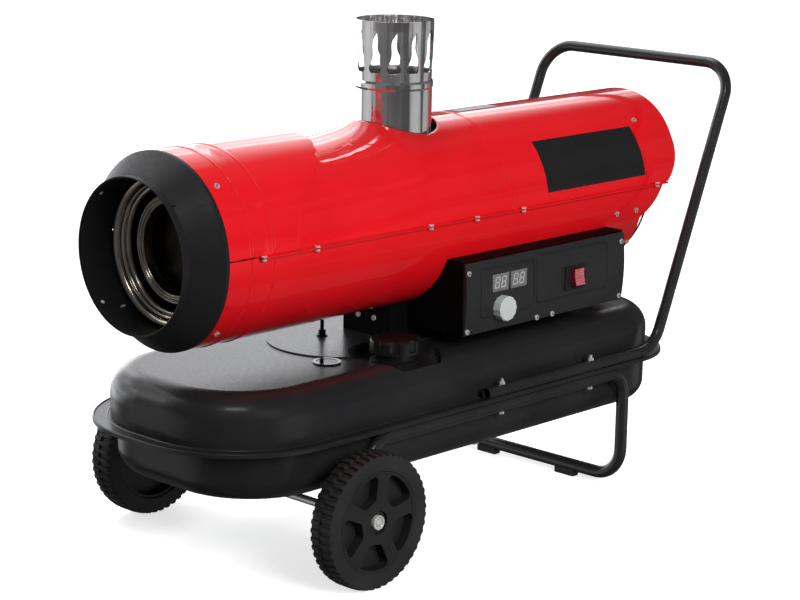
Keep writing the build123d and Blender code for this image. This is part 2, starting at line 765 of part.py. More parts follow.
# ---- heat exchanger
def combustion_chamber():
    """Closed drum with a recessed, beaded front and a hole for the burner."""
    t = CHAMBER_SHEET
    f = CHAMBER_FRONT
    r = CHAMBER_R
    c = CHAMBER_RECESS_R
    deep = f + CHAMBER_RECESS
    hole = BURNER_R + GAP
    drum = turned_x([(f + 7, r), (CHAMBER_REAR, r), (CHAMBER_REAR, hole), (CHAMBER_REAR - t, hole),
                     (CHAMBER_REAR - t, r - t), (f + 7, r - t), (f + 3, r - 3), (f + t, r - 5),
                     (f + t, c + 3.5), (f + 3, c + t), (deep, c + t), (deep, 0), (deep - t, 0), (deep - t, c),
                     (f + 2, c), (f, c + 3), (f, r - 5), (f + 2, r - 2)])
    for angle in DUCT_ANGLES:
        drum -= extrude(radial(DUCT_X, angle, c) * Circle(DUCT_R - t), r)
    return drum


def exchanger_jacket():
    """Ring-shaped gas jacket round the chamber, with its ducts and legs."""
    t = CHAMBER_SHEET
    f = JACKET_FRONT
    nose = JACKET_FRONT + JACKET_NOSE
    r = JACKET_R
    i = JACKET_INNER_R
    jacket = turned_x([(f + 2, r), (JACKET_REAR, r), (JACKET_REAR, i), (nose, i), (f + 9, r - 8),
                       (f + 6, r - 5), (f + 4, r - 6), (f, r - 3), (f, r - 1)])
    hollow = turned_x([(f + 5, r - t), (JACKET_REAR - t, r - t), (JACKET_REAR - t, i + t), (nose, i + t),
                       (f + 9, r - 8 + t)])
    jacket -= hollow
    length = i + t - CHAMBER_R + DUCT_DEPTH
    for angle in DUCT_ANGLES:
        place = radial(DUCT_X, angle, CHAMBER_R - DUCT_DEPTH)
        duct = extrude(place * Circle(DUCT_R), length) - disc_x(CHAMBER_R + GAP, f, JACKET_REAR)
        jacket += duct
        jacket -= extrude(place * Circle(DUCT_R - t), length + t)
    mouth = FLUE_R - FLUE_SHEET - GAP - t
    jacket -= rod((FLUE_X, 0, CASING_Z + i + t), (FLUE_X, 0, CASING_Z + r + t), mouth)
    for x in LEG_PLACES:
        for angle in LEG_ANGLES:
            place = radial(x, angle, r - t / 2)
            reach = CASING_IN - GAP - r + t / 2 - LEG_SHEET / 2
            jacket += extrude(place * Rectangle(LEG_WIDTH, LEG_SHEET), reach)
    return jacket


# ---- burner
def burner_tube():
    """Blast tube with its flange and rear cover."""
    t = CHAMBER_SHEET
    cover = BURNER_REAR - BURNER_COVER
    flange = CHAMBER_REAR + GAP
    tube = turned_x([(BURNER_FRONT, BURNER_R - t), (cover, BURNER_R - t), (cover, 0), (BURNER_REAR, 0),
                     (BURNER_REAR, BURNER_R), (flange + BURNER_FLANGE, BURNER_R),
                     (flange + BURNER_FLANGE, BURNER_FLANGE_R), (flange, BURNER_FLANGE_R), (flange, BURNER_R),
                     (BURNER_FRONT, BURNER_R)])
    step = 360.0 / BURNER_SLOTS
    for number in range(BURNER_SLOTS):
        place = radial((CHAMBER_REAR + BURNER_REAR) / 2, (number + 0.5) * step, BURNER_R - 4 * t)
        tube -= extrude(place * SlotOverall(*BURNER_SLOT), 8 * t)
    front = cover - t
    rear = BURNER_REAR + t
    tube -= disc_x(NOZZLE_R + GAP, front, rear)
    for side in (-1, 1):
        y = side * ELECTRODE_Y
        z = CASING_Z - ELECTRODE_DROP
        tube -= rod((front, y, z), (rear, y, z), ELECTRODE_R + GAP)
    z = CASING_Z + PHOTOCELL_RISE
    return tube - rod((front, 0, z), (rear, 0, z), PHOTOCELL_R + GAP)


def diffuser_disc():
    """Slotted air disc in front of the nozzle, clipped on the nozzle holder."""
    outer = BURNER_R - CHAMBER_SHEET - GAP
    disc = ring_x(outer, NOZZLE_R + GAP, DIFFUSER_X, DIFFUSER_X + DIFFUSER)
    step = 360.0 / DIFFUSER_SLOTS
    for number in range(DIFFUSER_SLOTS):
        turn = (number + 0.25) * step
        middle = radial(DIFFUSER_X, turn, DIFFUSER_SLOT_R).origin
        disc -= Pos(middle.X, middle.Y, middle.Z) * Rot(turn, 0, 0) * Box(*DIFFUSER_SLOT)
    for side in (-1, 1):
        y = side * ELECTRODE_Y
        z = CASING_Z - ELECTRODE_DROP
        disc -= rod((DIFFUSER_X - DIFFUSER, y, z), (DIFFUSER_X + 2 * DIFFUSER, y, z), ELECTRODE_R + GAP)
    return disc


def nozzle_holder():
    """Fuel nozzle on its holder, with a hexagon and a collar."""
    front = DIFFUSER_X - DIFFUSER
    holder = disc_x(NOZZLE_R, front, NOZZLE_REAR - UNION)
    point = front - NOZZLE_TIP
    tip = turned_x([(point, 0), (point, NOZZLE_R / 3), (front, NOZZLE_R * 2 / 3), (front, 0)])
    seat = Plane(origin=(NOZZLE_REAR - UNION, 0, CASING_Z), z_dir=(1, 0, 0))
    return holder + tip + hex_bar(seat, NOZZLE_HEX_R, UNION)


def electrodes():
    """Two ignition electrodes in their porcelain sleeves."""
    pair = []
    z = CASING_Z - ELECTRODE_DROP
    bend = DIFFUSER_X - NOZZLE_R
    for side in (-1, 1):
        y = side * ELECTRODE_Y
        rear = NOZZLE_REAR - 2 * ELECTRODE_WIRE_R
        sleeve = rod((DIFFUSER_X - 2 * DIFFUSER, y, z), (rear, y, z), ELECTRODE_R)
        wire_end = (bend - ELECTRODE_R, side * ELECTRODE_Y / 4, CASING_Z - NOZZLE_R)
        wire = bent([(DIFFUSER_X, y, z), (bend, y, z), wire_end], 2 * ELECTRODE_WIRE_R, ELECTRODE_WIRE_R)
        pair += (sleeve + wire).solids()
    return Compound(pair)


def photocell():
    """Flame sensor in the burner's rear cover."""
    z = CASING_Z + PHOTOCELL_RISE
    inside, outside = PHOTOCELL_BODY
    eye = rod((BURNER_REAR - inside, 0, z), (BURNER_REAR + outside, 0, z), PHOTOCELL_R)
    rim = PHOTOCELL_R + PHOTOCELL_COLLAR
    collar = rod((BURNER_REAR + GAP, 0, z), (BURNER_REAR + PHOTOCELL_COLLAR, 0, z), rim)
    return eye + collar


# ---- motor, fan, pump
def motor():
    """Closed motor with end shields and a bore for its shaft."""
    r = MOTOR_R
    front = MOTOR_FRONT
    rear = MOTOR_REAR
    shield = MOTOR_SHIELD
    neck = shield * 0.75
    body = turned_x([(front, 0), (front, r - MOTOR_TAPER), (front + neck, r - 2), (front + shield, r - 2),
                     (front + shield, r), (rear - shield, r), (rear - shield, r - 2), (rear - neck, r - 2),
                     (rear, r - MOTOR_TAPER), (rear, 0)])
    step = 360.0 / MOTOR_SLOTS
    for number in range(MOTOR_SLOTS):
        middle = radial((front + rear) / 2 + MOTOR_SLOT[0], number * step, r).origin
        body -= Pos(middle.X, middle.Y, middle.Z) * Rot(number * step, 0, 0) * Box(*MOTOR_SLOT)
    return body - disc_x(SHAFT_R + RUN_FIT, MOTOR_FRONT - 1, MOTOR_REAR + 1)


def motor_shaft():
    """Shaft through the motor, from the pump to the fan."""
    front = MOTOR_FRONT - PUMP_LENGTH + PUMP_FRONT_WALL
    rear = FAN_FRONT + FAN_HUB_LENGTH + 12
    return disc_x(SHAFT_R, front, rear)


def fan():
    """Axial fan with pitched blades."""
    hub_rear = FAN_FRONT + FAN_HUB_LENGTH
    hub = ring_x(FAN_HUB_R, SHAFT_R, FAN_FRONT, hub_rear)
    middle = (FAN_FRONT + hub_rear) / 2
    blade_in = FAN_HUB_R - 3
    for number in range(FAN_BLADES):
        blade = Pos(0, 0, (blade_in + FAN_R) / 2) * Box(FAN_SHEET, FAN_CHORD, FAN_R - blade_in)
        blade = Rot(0, 0, FAN_PITCH) * blade
        blade = fillet(blade.edges().filter_by(Axis.Z).group_by(Axis.Y)[0], FAN_SHEET * 0.4)
        hub += Pos(middle, 0, CASING_Z) * Rot(number * 360.0 / FAN_BLADES, 0, 0) * blade
    hub = hub & disc_x(FAN_R, FAN_FRONT - FAN_CHORD, hub_rear + FAN_CHORD)
    return hub - disc_x(SHAFT_R, FAN_FRONT - FAN_CHORD, hub_rear + FAN_CHORD)


def fuel_pump():
    """Gear pump flanged to the front of the motor, with its ports."""
    front = MOTOR_FRONT - GAP - PUMP_LENGTH
    rear = MOTOR_FRONT - GAP
    half = PUMP_SIZE / 2
    body = block(front, rear, -half, half, CASING_Z - half, CASING_Z + half)
    body = fillet(body.edges().filter_by(Axis.X), PUMP_CORNER)
    body -= disc_x(SHAFT_R + RUN_FIT, front + PUMP_FRONT_WALL - RUN_FIT, rear + 1)
    outlet = Plane(origin=(front, 0, CASING_Z), z_dir=(-1, 0, 0))
    inlet = Plane(origin=((front + rear) / 2, half, CASING_Z), z_dir=(0, 1, 0))
    return body + hex_bar(outlet, PORT_R, PORT_OUT) + hex_bar(inlet, PORT_R, PORT_IN)


def motor_bracket():
    """Clamp round the motor with three arms to the casing."""
    inner = MOTOR_R + GAP
    outer = inner + CLAMP_SHEET
    clamp = ring_x(outer, inner, CLAMP_X - CLAMP_WIDTH / 2, CLAMP_X + CLAMP_WIDTH / 2)
    reach = CASING_IN - GAP - 0.6
    for angle in CLAMP_ANGLES:
        place = radial(CLAMP_X, angle, outer - CLAMP_SHEET / 2)
        clamp += extrude(place * Rectangle(CLAMP_SHEET, CLAMP_ARM), reach - outer + CLAMP_SHEET / 2)
    return clamp


def rear_guard():
    """Round wire grille behind the fan."""
    outer = CASING_IN - GUARD_WIRE_R - SOFT_GAP
    step = (outer - GUARD_INNER_R) / (GUARD_RINGS - 1)
    wires = []
    for number in range(GUARD_RINGS):
        ring = Torus(GUARD_INNER_R + number * step, GUARD_WIRE_R)
        wires.append(Pos(GUARD_X, 0, CASING_Z) * Rot(0, 90, 0) * ring)
    for number in range(GUARD_SPOKES):
        angle = 15.0 + number * 360.0 / GUARD_SPOKES
        place = radial(GUARD_X + GUARD_WIRE_R * 0.9, angle, GUARD_INNER_R - GUARD_OVERHANG)
        wires.append(extrude(place * Circle(GUARD_WIRE_R), outer - GUARD_INNER_R + 2 * GUARD_OVERHANG))
    return wires[0].fuse(*wires[1:])


# ---- fuel
def fuel_filter():
    """In-line filter under the burner."""
    body = rod((FILTER_X, PICKUP_Y, RUN_Z), (FILTER_X + FILTER_LENGTH, PICKUP_Y, RUN_Z), FILTER_R)
    return fillet(body.edges(), FILTER_R / 4)


def suction_pipe():
    """Pick-up with its fitting on the tank, pipe to the filter, and pipe from the filter to the pump."""
    foot = TANK_BOTTOM + STRAINER_RISE
    pickup = bent([(PICKUP_X, PICKUP_Y, foot + PICKUP_RISE), (PICKUP_X, PICKUP_Y, RUN_Z),
                   (FILTER_X - GAP, PICKUP_Y, RUN_Z)], PIPE_BEND, PIPE_R)
    strainer = rod((PICKUP_X, PICKUP_Y, foot), (PICKUP_X, PICKUP_Y, foot + STRAINER_LENGTH), STRAINER_R)
    washer = extrude(Plane(origin=(PICKUP_X, PICKUP_Y, PLATEAU_Z)) * Circle(FITTING_R), FITTING)
    nut = hex_bar(Plane(origin=(PICKUP_X, PICKUP_Y, PLATEAU_Z + FITTING)), FITTING_HEX_R, UNION)
    pump_x = MOTOR_FRONT - GAP - PUMP_LENGTH / 2
    port = PUMP_SIZE / 2 + PORT_IN + GAP
    rise = bent([(FILTER_X + FILTER_LENGTH + GAP, PICKUP_Y, RUN_Z), (pump_x, PICKUP_Y, RUN_Z),
                 (pump_x, PICKUP_Y, CASING_Z), (pump_x, port, CASING_Z)], [PIPE_BEND, PORT_BEND], PIPE_R)
    return Compound([(pickup + strainer + washer + nut).solid(), rise.solid()])


def delivery_pipe():
    """Short pipe from the pump to the nozzle holder, with its union nuts."""
    front = MOTOR_FRONT - GAP - PUMP_LENGTH - PORT_OUT - GAP
    pipe = rod((NOZZLE_REAR + GAP, 0, CASING_Z), (front, 0, CASING_Z), DELIVERY_R)
    seat = Plane(origin=(NOZZLE_REAR + GAP, 0, CASING_Z), z_dir=(1, 0, 0))
    other = Plane(origin=(front - UNION, 0, CASING_Z), z_dir=(1, 0, 0))
    return pipe + hex_bar(seat, UNION_R, UNION) + hex_bar(other, UNION_R, UNION)


# ---- tank
def tank_plan(front_inset, rear_inset, side_inset):
    """Outline of the tank in plan, set in from the rim."""
    x0 = TANK_FRONT + front_inset
    x1 = TANK_REAR - rear_inset
    half = TANK_HALF_WIDTH - side_inset
    front_r = min(TANK_FRONT_R - (front_inset + side_inset) / 2, half - 1)
    rear_r = min(TANK_REAR_R - (rear_inset + side_inset) / 2, half - 1)
    plan = face_of([(x0, -half), (x1, -half), (x1, half), (x0, half)])
    corners = plan.vertices().sort_by(Axis.X)
    plan = fillet(corners[:2], front_r)
    corners = plan.vertices().sort_by(Axis.X)
    return fillet(corners[-2:], rear_r)


def scallop(extra, low):
    """Round recess for the filler cap."""
    return rod((CAP_X, CAP_Y, low), (CAP_X, CAP_Y, PLATEAU_Z + 50), SCALLOP_R + extra)


def tank_dome(inset):
    """Solid shape of the tank above the rim, at a distance inside its surface."""
    side = TANK_TOP_INSET + inset
    dome = extrude(Pos(0, 0, RIM_Z) * tank_plan(side, side, side), TANK_TOP - inset - RIM_Z)
    dome = fillet(dome.edges().group_by(Axis.Z)[-1], TANK_TOP_ROUND - inset)
    wide = 2 * (PLATEAU_HALF - inset)
    nose = Pos(PLATEAU_X, PLATEAU_Y, 0) * Circle(PLATEAU_R - inset)
    nose = nose & Pos(PLATEAU_X - PLATEAU_R, PLATEAU_Y, 0) * Rectangle(4 * PLATEAU_R, wide)
    middle = (PLATEAU_X + PLATEAU_REAR) / 2
    tail = Pos(middle, PLATEAU_Y, 0) * Rectangle(PLATEAU_REAR - PLATEAU_X - 2 * inset, wide)
    low = TANK_TOP - TANK_TOP_ROUND
    plateau = extrude(Pos(0, 0, low) * (nose + tail), TANK_TOP_ROUND + PLATEAU_RISE - inset)
    dome += plateau
    return dome - scallop(inset, SCALLOP_Z - inset)


def tank_upper():
    """Upper half of the tank with its rim."""
    upper = tank_dome(0)
    rim = extrude(Pos(0, 0, RIM_Z) * tank_plan(0, 0, 0), RIM_HALF)
    upper = upper + rim - tank_dome(TANK_SHEET)
    upper -= rod((CAP_X, CAP_Y, RIM_Z), (CAP_X, CAP_Y, TANK_TOP + 50), NECK_R - NECK_WALL)
    upper -= rod((GAUGE_X, GAUGE_Y, RIM_Z), (GAUGE_X, GAUGE_Y, TANK_TOP + 50), GAUGE_BODY_R + GAP)
    upper -= rod((PICKUP_X, PICKUP_Y, RIM_Z), (PICKUP_X, PICKUP_Y, TANK_TOP + 50), PIPE_R + GAP)
    return upper - tube_bolt_shanks(GAP)


def tank_pan(inset):
    """Solid shape of the tank below the rim, at a distance inside its surface."""
    front = TANK_BOTTOM_FRONT_INSET + inset
    plan = tank_plan(front, TANK_BOTTOM_REAR_INSET + inset, TANK_BOTTOM_INSET + inset)
    low = TANK_BOTTOM + inset
    pan = extrude(Pos(0, 0, low) * plan, RIM_Z - low)
    return fillet(pan.edges().group_by(Axis.Z)[0], TANK_BOTTOM_ROUND - inset)


def tank_lower():
    """Lower half of the tank with its rim."""
    lower = tank_pan(0)
    rim = extrude(Pos(0, 0, RIM_Z - RIM_HALF) * tank_plan(0, 0, 0), RIM_HALF)
    lower = lower + rim - tank_pan(TANK_SHEET)
    lower -= rod((DRAIN_X, DRAIN_Y, TANK_BOTTOM - 5), (DRAIN_X, DRAIN_Y, TANK_BOTTOM + 5), DRAIN_R - 2 + GAP)
    return lower - tube_bolt_shanks(GAP)


def drain_plug():
    """Plug in the bottom of the tank."""
    seat = Plane(origin=(DRAIN_X, DRAIN_Y, TANK_BOTTOM - DRAIN_HEAD))
    thread = rod((DRAIN_X, DRAIN_Y, TANK_BOTTOM - 1), (DRAIN_X, DRAIN_Y, TANK_BOTTOM + 6), DRAIN_R - 2)
    return hex_bar(seat, DRAIN_R, DRAIN_HEAD) + thread


def filler_neck():
    """Neck under the filler cap."""
    inner = NECK_R - NECK_WALL
    foot = NECK_R + 2 * NECK_WALL
    return turned_z([(inner, SCALLOP_Z), (foot, SCALLOP_Z), (foot, SCALLOP_Z + 2), (NECK_R, SCALLOP_Z + 4),
                     (NECK_R, NECK_TOP), (inner, NECK_TOP)], CAP_X, CAP_Y)


def fuel_cap():
    """Lobed filler cap, hollow underneath."""
    top = CAP_BOTTOM + CAP_HEIGHT
    cap = rod((CAP_X, CAP_Y, CAP_BOTTOM), (CAP_X, CAP_Y, top), CAP_R)
    cap = fillet(cap.edges().group_by(Axis.Z)[-1], 5)
    for number in range(CAP_LOBES):
        turn = math.radians(number * 360.0 / CAP_LOBES)
        x = CAP_X + (CAP_R + CAP_GROOVE_OUT) * math.cos(turn)
        y = CAP_Y + (CAP_R + CAP_GROOVE_OUT) * math.sin(turn)
        cap -= rod((x, y, CAP_BOTTOM + CAP_SKIRT), (x, y, top + 1), CAP_GROOVE_R)
    return cap - rod((CAP_X, CAP_Y, CAP_BOTTOM - 1), (CAP_X, CAP_Y, NECK_TOP + GASKET), NECK_R + SOFT_GAP)


def cap_gasket():
    """Flat gasket between neck and cap, which rises with the cap."""
    inner = NECK_R - NECK_WALL - 1
    top = NECK_TOP + GASKET
    return turned_z([(inner, NECK_TOP), (NECK_R, NECK_TOP), (NECK_R, top), (inner, top)], CAP_X, CAP_Y)


def gauge_body():
    """Housing of the fuel gauge with its stem and the fork that carries the float arm."""
    r = GAUGE_BODY_R
    rim_top = TANK_TOP + GAUGE_RIM
    floor = TANK_TOP - GAUGE_DEPTH
    body = turned_z([(0, floor), (r, floor), (r, TANK_TOP), (GAUGE_R, TANK_TOP), (GAUGE_R, rim_top),
                     (r - 1, rim_top), (r - 1, rim_top - LENS_DROP), (r - 2, rim_top - LENS_DROP),
                     (r - 2, floor + 3), (0, floor + 3)], GAUGE_X, GAUGE_Y)
    stem = rod((GAUGE_X, GAUGE_Y, FLOAT_PIVOT_Z + 12), (GAUGE_X, GAUGE_Y, floor + 1), 5)
    fork = block(GAUGE_X - 5, GAUGE_X + 5, GAUGE_Y - 8, GAUGE_Y + 8, FLOAT_PIVOT_Z - 6, FLOAT_PIVOT_Z + 14)
    fork -= block(GAUGE_X - 6, GAUGE_X + 6, GAUGE_Y - 4, GAUGE_Y + 4, FLOAT_PIVOT_Z - 7, FLOAT_PIVOT_Z + 8)
    bore = FLOAT_PIN_R + RUN_FIT
    fork -= rod((GAUGE_X, GAUGE_Y - 9, FLOAT_PIVOT_Z), (GAUGE_X, GAUGE_Y + 9, FLOAT_PIVOT_Z), bore)
    post = rod((GAUGE_X, GAUGE_Y, floor + 2), (GAUGE_X, GAUGE_Y, floor + 11), 1.2)
    return body + stem + fork + post


def gauge_lens():
    """Clear disc over the needle."""
    top = TANK_TOP + GAUGE_RIM - LENS_DROP
    return rod((GAUGE_X, GAUGE_Y, top - LENS), (GAUGE_X, GAUGE_Y, top), GAUGE_BODY_R - 2 - GAP)


def gauge_needle():
    """Needle on the gauge's post."""
    low = TANK_TOP - GAUGE_DEPTH + 7
    hub = rod((GAUGE_X, GAUGE_Y, low), (GAUGE_X, GAUGE_Y, low + 3), 3)
    blade = block(GAUGE_X - 6, GAUGE_X + NEEDLE_LENGTH - 12, GAUGE_Y - 1, GAUGE_Y + 1, low + 1, low + 2)
    bore = rod((GAUGE_X, GAUGE_Y, low - 1), (GAUGE_X, GAUGE_Y, low + 4), 1.2 + RUN_FIT)
    return Pos(GAUGE_X, GAUGE_Y, 0) * Rot(0, 0, 45) * Pos(-GAUGE_X, -GAUGE_Y, 0) * (hub + blade - bore)


def float_arm():
    """Arm and float of the fuel gauge, hanging at its lowest."""
    pivot = Vector(GAUGE_X, GAUGE_Y, FLOAT_PIVOT_Z)
    turn = math.radians(FLOAT_REST_ANGLE)
    tip = pivot + Vector(-FLOAT_ARM * math.cos(turn), 0, -FLOAT_ARM * math.sin(turn))
    start = (GAUGE_X, GAUGE_Y, FLOAT_PIVOT_Z)
    arm = rod(start, tuple(tip), FLOAT_WIRE_R)
    near = (GAUGE_X, GAUGE_Y - FLOAT_PIN_HALF, FLOAT_PIVOT_Z)
    far = (GAUGE_X, GAUGE_Y + FLOAT_PIN_HALF, FLOAT_PIVOT_Z)
    pin = rod(near, far, FLOAT_PIN_R)
    half = FLOAT_LENGTH / 2
    tank_float = rod((tip.X, GAUGE_Y - half, tip.Z), (tip.X, GAUGE_Y + half, tip.Z), FLOAT_R)
    return arm + pin + tank_float


# ---- pedestal and control box
def pedestal():
    """Sheet box between the tank and the casing, cut to the casing's round."""
    s = PEDESTAL_SHEET
    half = PEDESTAL_HALF
    outer = block(PEDESTAL_FRONT, PEDESTAL_REAR, -half, half, PLATEAU_Z, CASING_Z)
    inner = block(PEDESTAL_FRONT + s, PEDESTAL_REAR - s, -half + s, half - s, PLATEAU_Z - 1, CASING_Z + 1)
    walls = outer - inner - disc_x(CASING_R + GAP, PEDESTAL_FRONT - 1, PEDESTAL_REAR + 1)
    for side in (-1, 1):
        y = side * PEDESTAL_BOLT_Y
        walls -= rod((PEDESTAL_FRONT - 1, y, PEDESTAL_BOLT_Z), (PEDESTAL_FRONT + s + 1, y, PEDESTAL_BOLT_Z),
                     SCREW_R + GAP)
    return walls


def box_outline(inset):
    """Front view of the control box."""
    low = BOX_BOTTOM + inset
    high = BOX_TOP - inset
    front = BOX_FRONT + inset
    rear = BOX_REAR - inset
    return [(front, low), (rear, low), (rear, high), (front, high)]


def box_prism(inset, front, back):
    """Control box as a solid between two Y planes."""
    face = Plane(origin=(0, back, 0), x_dir=(1, 0, 0), z_dir=(0, -1, 0)) * face_of(box_outline(inset))
    return extrude(face, back - front)


def control_housing():
    """Box beside the pedestal and under the casing, open behind the panel."""
    s = BOX_SHEET
    back = -PEDESTAL_HALF - GAP
    outer = box_prism(0, BOX_Y, back)
    top = outer.edges().group_by(Axis.Z)[-1].sort_by(Axis.Y)[0]
    outer = chamfer(top, BOX_BEVEL)
    walls = outer - box_prism(s, BOX_Y - 1, back + 1) - disc_x(CASING_R + GAP, BOX_FRONT - 1, BOX_REAR + 1)
    walls -= rod((BOX_REAR - 5, GLAND_Y, GLAND_Z), (BOX_REAR + 5, GLAND_Y, GLAND_Z), GLAND_R - 2 + GAP)
    return walls


def panel_front(z):
    """Y of the bowed panel's front surface at a height."""
    half = (BOX_TOP - BOX_BOTTOM) / 2
    return PANEL_Y - PANEL_BOW * (1 - ((z - PANEL_MID_Z) / half) ** 2)


def switch_half():
    """Half width and half height of the switch's housing in the panel."""
    return (ROCKER_WIDTH / 2 + SOFT_GAP + ROCKER_PIN + SWITCH_WALL, MOUTH_HALF + SWITCH_WALL)


def control_panel():
    """Bowed front panel with its cut-outs."""
    s = PANEL_RIM
    low = BOX_BOTTOM + s
    high = BOX_TOP - s - BOX_BEVEL
    flat = BOX_Y - GAP
    bow = ThreePointArc((PANEL_Y, low), (panel_front(PANEL_MID_Z), PANEL_MID_Z), (PANEL_Y, high))
    back = Polyline((PANEL_Y, high), (flat, high), (flat, low), (PANEL_Y, low))
    section = Plane(origin=(BOX_FRONT + s, 0, 0), x_dir=(0, 1, 0), z_dir=(1, 0, 0)) * make_face([bow, back])
    panel = extrude(section, BOX_REAR - BOX_FRONT - 2 * s)
    for x in DISPLAY_X:
        w = DISPLAY_WIDTH / 2 + GAP
        h = DISPLAY_HEIGHT / 2 + GAP
        panel -= block(x - w, x + w, PANEL_Y - 20, BOX_Y + 1, DISPLAY_Z - h, DISPLAY_Z + h)
    hole = KNOB_SHAFT_R + 1
    panel -= rod((KNOB_X, PANEL_Y - 20, KNOB_Z), (KNOB_X, BOX_Y + 1, KNOB_Z), hole)
    w, h = switch_half()
    w += GAP
    h += GAP
    panel -= block(ROCKER_X - w, ROCKER_X + w, PANEL_Y - 20, BOX_Y + 1, ROCKER_Z - h, ROCKER_Z + h)
    for x, z in PANEL_SCREWS:
        panel -= rod((x, PANEL_Y - 20, z), (x, BOX_Y + 1, z), SCREW_R + GAP)
    return panel


def panel_screws():
    """Screws round the panel."""
    screws = []
    for x, z in PANEL_SCREWS:
        front = panel_front(z) - BOX_GRIP
        head = rod((x, front - SCREW_HEAD, z), (x, front, z), SCREW_HEAD_R)
        head = fillet(head.edges().group_by(Axis.Y)[0], SCREW_HEAD * 0.5)
        shank = rod((x, front - SCREW_HEAD / 2, z), (x, BOX_Y + 2 * BOX_SHEET, z), SCREW_R)
        screws += (head + shank).solids()
    return Compound(screws)


def displays():
    """Two display modules in the panel."""
    pair = []
    front = panel_front(DISPLAY_Z) + 1.0
    for x in DISPLAY_X:
        w = DISPLAY_WIDTH / 2
        h = DISPLAY_HEIGHT / 2
        module = block(x - w, x + w, front, front + DISPLAY_DEPTH, DISPLAY_Z - h, DISPLAY_Z + h)
        lug = block(x - w, x + w, BOX_Y, BOX_Y + 2, DISPLAY_Z + h, DISPLAY_Z + h + 4)
        pair += (module + lug).solids()
    return Compound(pair)


def thermostat_knob():
    """Faceted knob on its shaft."""
    back = panel_front(KNOB_Z) - 1.0
    face = Plane(origin=(KNOB_X, back, KNOB_Z), x_dir=(1, 0, 0), z_dir=(0, -1, 0))
    knob = extrude(face * RegularPolygon(KNOB_R, KNOB_SIDES), KNOB_DEPTH)
    knob = chamfer(knob.edges().group_by(Axis.Y)[0], 1.5)
    shaft = rod((KNOB_X, back, KNOB_Z), (KNOB_X, BOX_Y + POT_DEPTH - 2, KNOB_Z), KNOB_SHAFT_R)
    return knob + shaft


def potentiometer():
    """Sensor behind the knob, in which the shaft turns."""
    body = rod((KNOB_X, BOX_Y, KNOB_Z), (KNOB_X, BOX_Y + POT_DEPTH, KNOB_Z), POT_R)
    bore = KNOB_SHAFT_R + RUN_FIT
    return body - rod((KNOB_X, BOX_Y - 1, KNOB_Z), (KNOB_X, BOX_Y + POT_DEPTH - 2 + RUN_FIT, KNOB_Z), bore)


def rocker_pivot():
    """Pivot line of the rocker."""
    return (ROCKER_X, panel_front(ROCKER_Z) + ROCKER_PIVOT, ROCKER_Z)


def rocker_frame():
    """Switch housing with its frame on the panel."""
    x, y, z = rocker_pivot()
    front = panel_front(ROCKER_Z) - BOX_GRIP
    w = BEZEL_WIDTH / 2
    h = BEZEL_HEIGHT / 2
    bezel = block(x - w, x + w, front - BEZEL, front, z - h, z + h)
    bezel = chamfer(bezel.edges().group_by(Axis.Y)[0], BEZEL / 3)
    w, h = switch_half()
    body = block(x - w, x + w, front, front + SWITCH_DEPTH, z - h, z + h)
    half = ROCKER_WIDTH / 2 + SOFT_GAP
    room = rod((x - half, y, z), (x + half, y, z), ROCKER_STEM_R + SOFT_GAP)
    mouth = block(x - half, x + half, front - BEZEL - 1, y + 1, z - MOUTH_HALF, z + MOUTH_HALF)
    reach = half + ROCKER_PIN
    pins = rod((x - reach, y, z), (x + reach, y, z), ROCKER_PIN_R + RUN_FIT)
    return bezel + body - room - mouth - pins


def rocker():
    """Box-shaped rocker, tipped to its off position."""
    x, y, z = rocker_pivot()
    w = ROCKER_WIDTH / 2
    h = ROCKER_HALF
    lean = h * math.tan(math.radians(ROCKER_TILT))
    back = -ROCKER_PIVOT / 2
    front = -ROCKER_REACH - lean
    outline = [(back, -h), (front, -h), (-ROCKER_REACH, 0), (front, h), (back, h)]
    section = Plane(origin=(x - w, y, z), x_dir=(0, 1, 0), z_dir=(1, 0, 0)) * face_of(outline)
    key = extrude(section, ROCKER_WIDTH)
    key = fillet(key.edges().group_by(Axis.Y)[0], ROCKER_PIN)
    depth = ROCKER_STEM_HALF
    stem = block(x - w, x + w, y + back, y + depth, z - depth, z + depth)
    reach = w + SOFT_GAP + ROCKER_PIN
    pins = rod((x - reach, y, z), (x + reach, y, z), ROCKER_PIN_R)
    return Pos(x, y, z) * Rot(-ROCKER_TILT, 0, 0) * Pos(-x, -y, -z) * (key + stem + pins)


def control_board():
    """Circuit board on standoffs behind the panel, with its relay and capacitor."""
    y = BOX_Y + BOARD_STANDOFF
    back = y + BOARD
    board = block(BOARD_FRONT, BOARD_REAR, y, back, BOARD_LOW, BOARD_HIGH)
    for x in (BOARD_FRONT + BOARD_POST_IN, BOARD_REAR - BOARD_POST_IN):
        for z in (BOARD_LOW + BOARD_POST_IN, BOARD_HIGH - BOARD_POST_IN):
            board += rod((x, BOX_Y, z), (x, y, z), BOARD_POST_R)
    x = BOARD_FRONT + RELAY_PLACE[0]
    z = BOARD_LOW + RELAY_PLACE[1]
    relay = block(x, x + RELAY[0], back, back + RELAY[1], z, z + RELAY[2])
    x = BOARD_REAR - CAPACITOR_PLACE[0]
    z = BOARD_LOW + CAPACITOR_PLACE[1]
    capacitor = rod((x, back - BOARD / 2, z), (x, back + CAPACITOR_LENGTH, z), CAPACITOR_R)
    return board + relay + capacitor


def ignition_transformer():
    """Transformer on the tank inside the pedestal."""
    length, width, height = TRANSFORMER
    x = TRANSFORMER_X
    body = block(x - length / 2, x + length / 2, -width / 2, width / 2, PLATEAU_Z, PLATEAU_Z + height)
    body = fillet(body.edges().filter_by(Axis.Z), 5)
    for side in (-1, 1):
        foot = side * (length / 2 + 5)
        body += block(x + foot - 6, x + foot + 6, -width / 4, width / 4, PLATEAU_Z, PLATEAU_Z + 2.5)
    return body


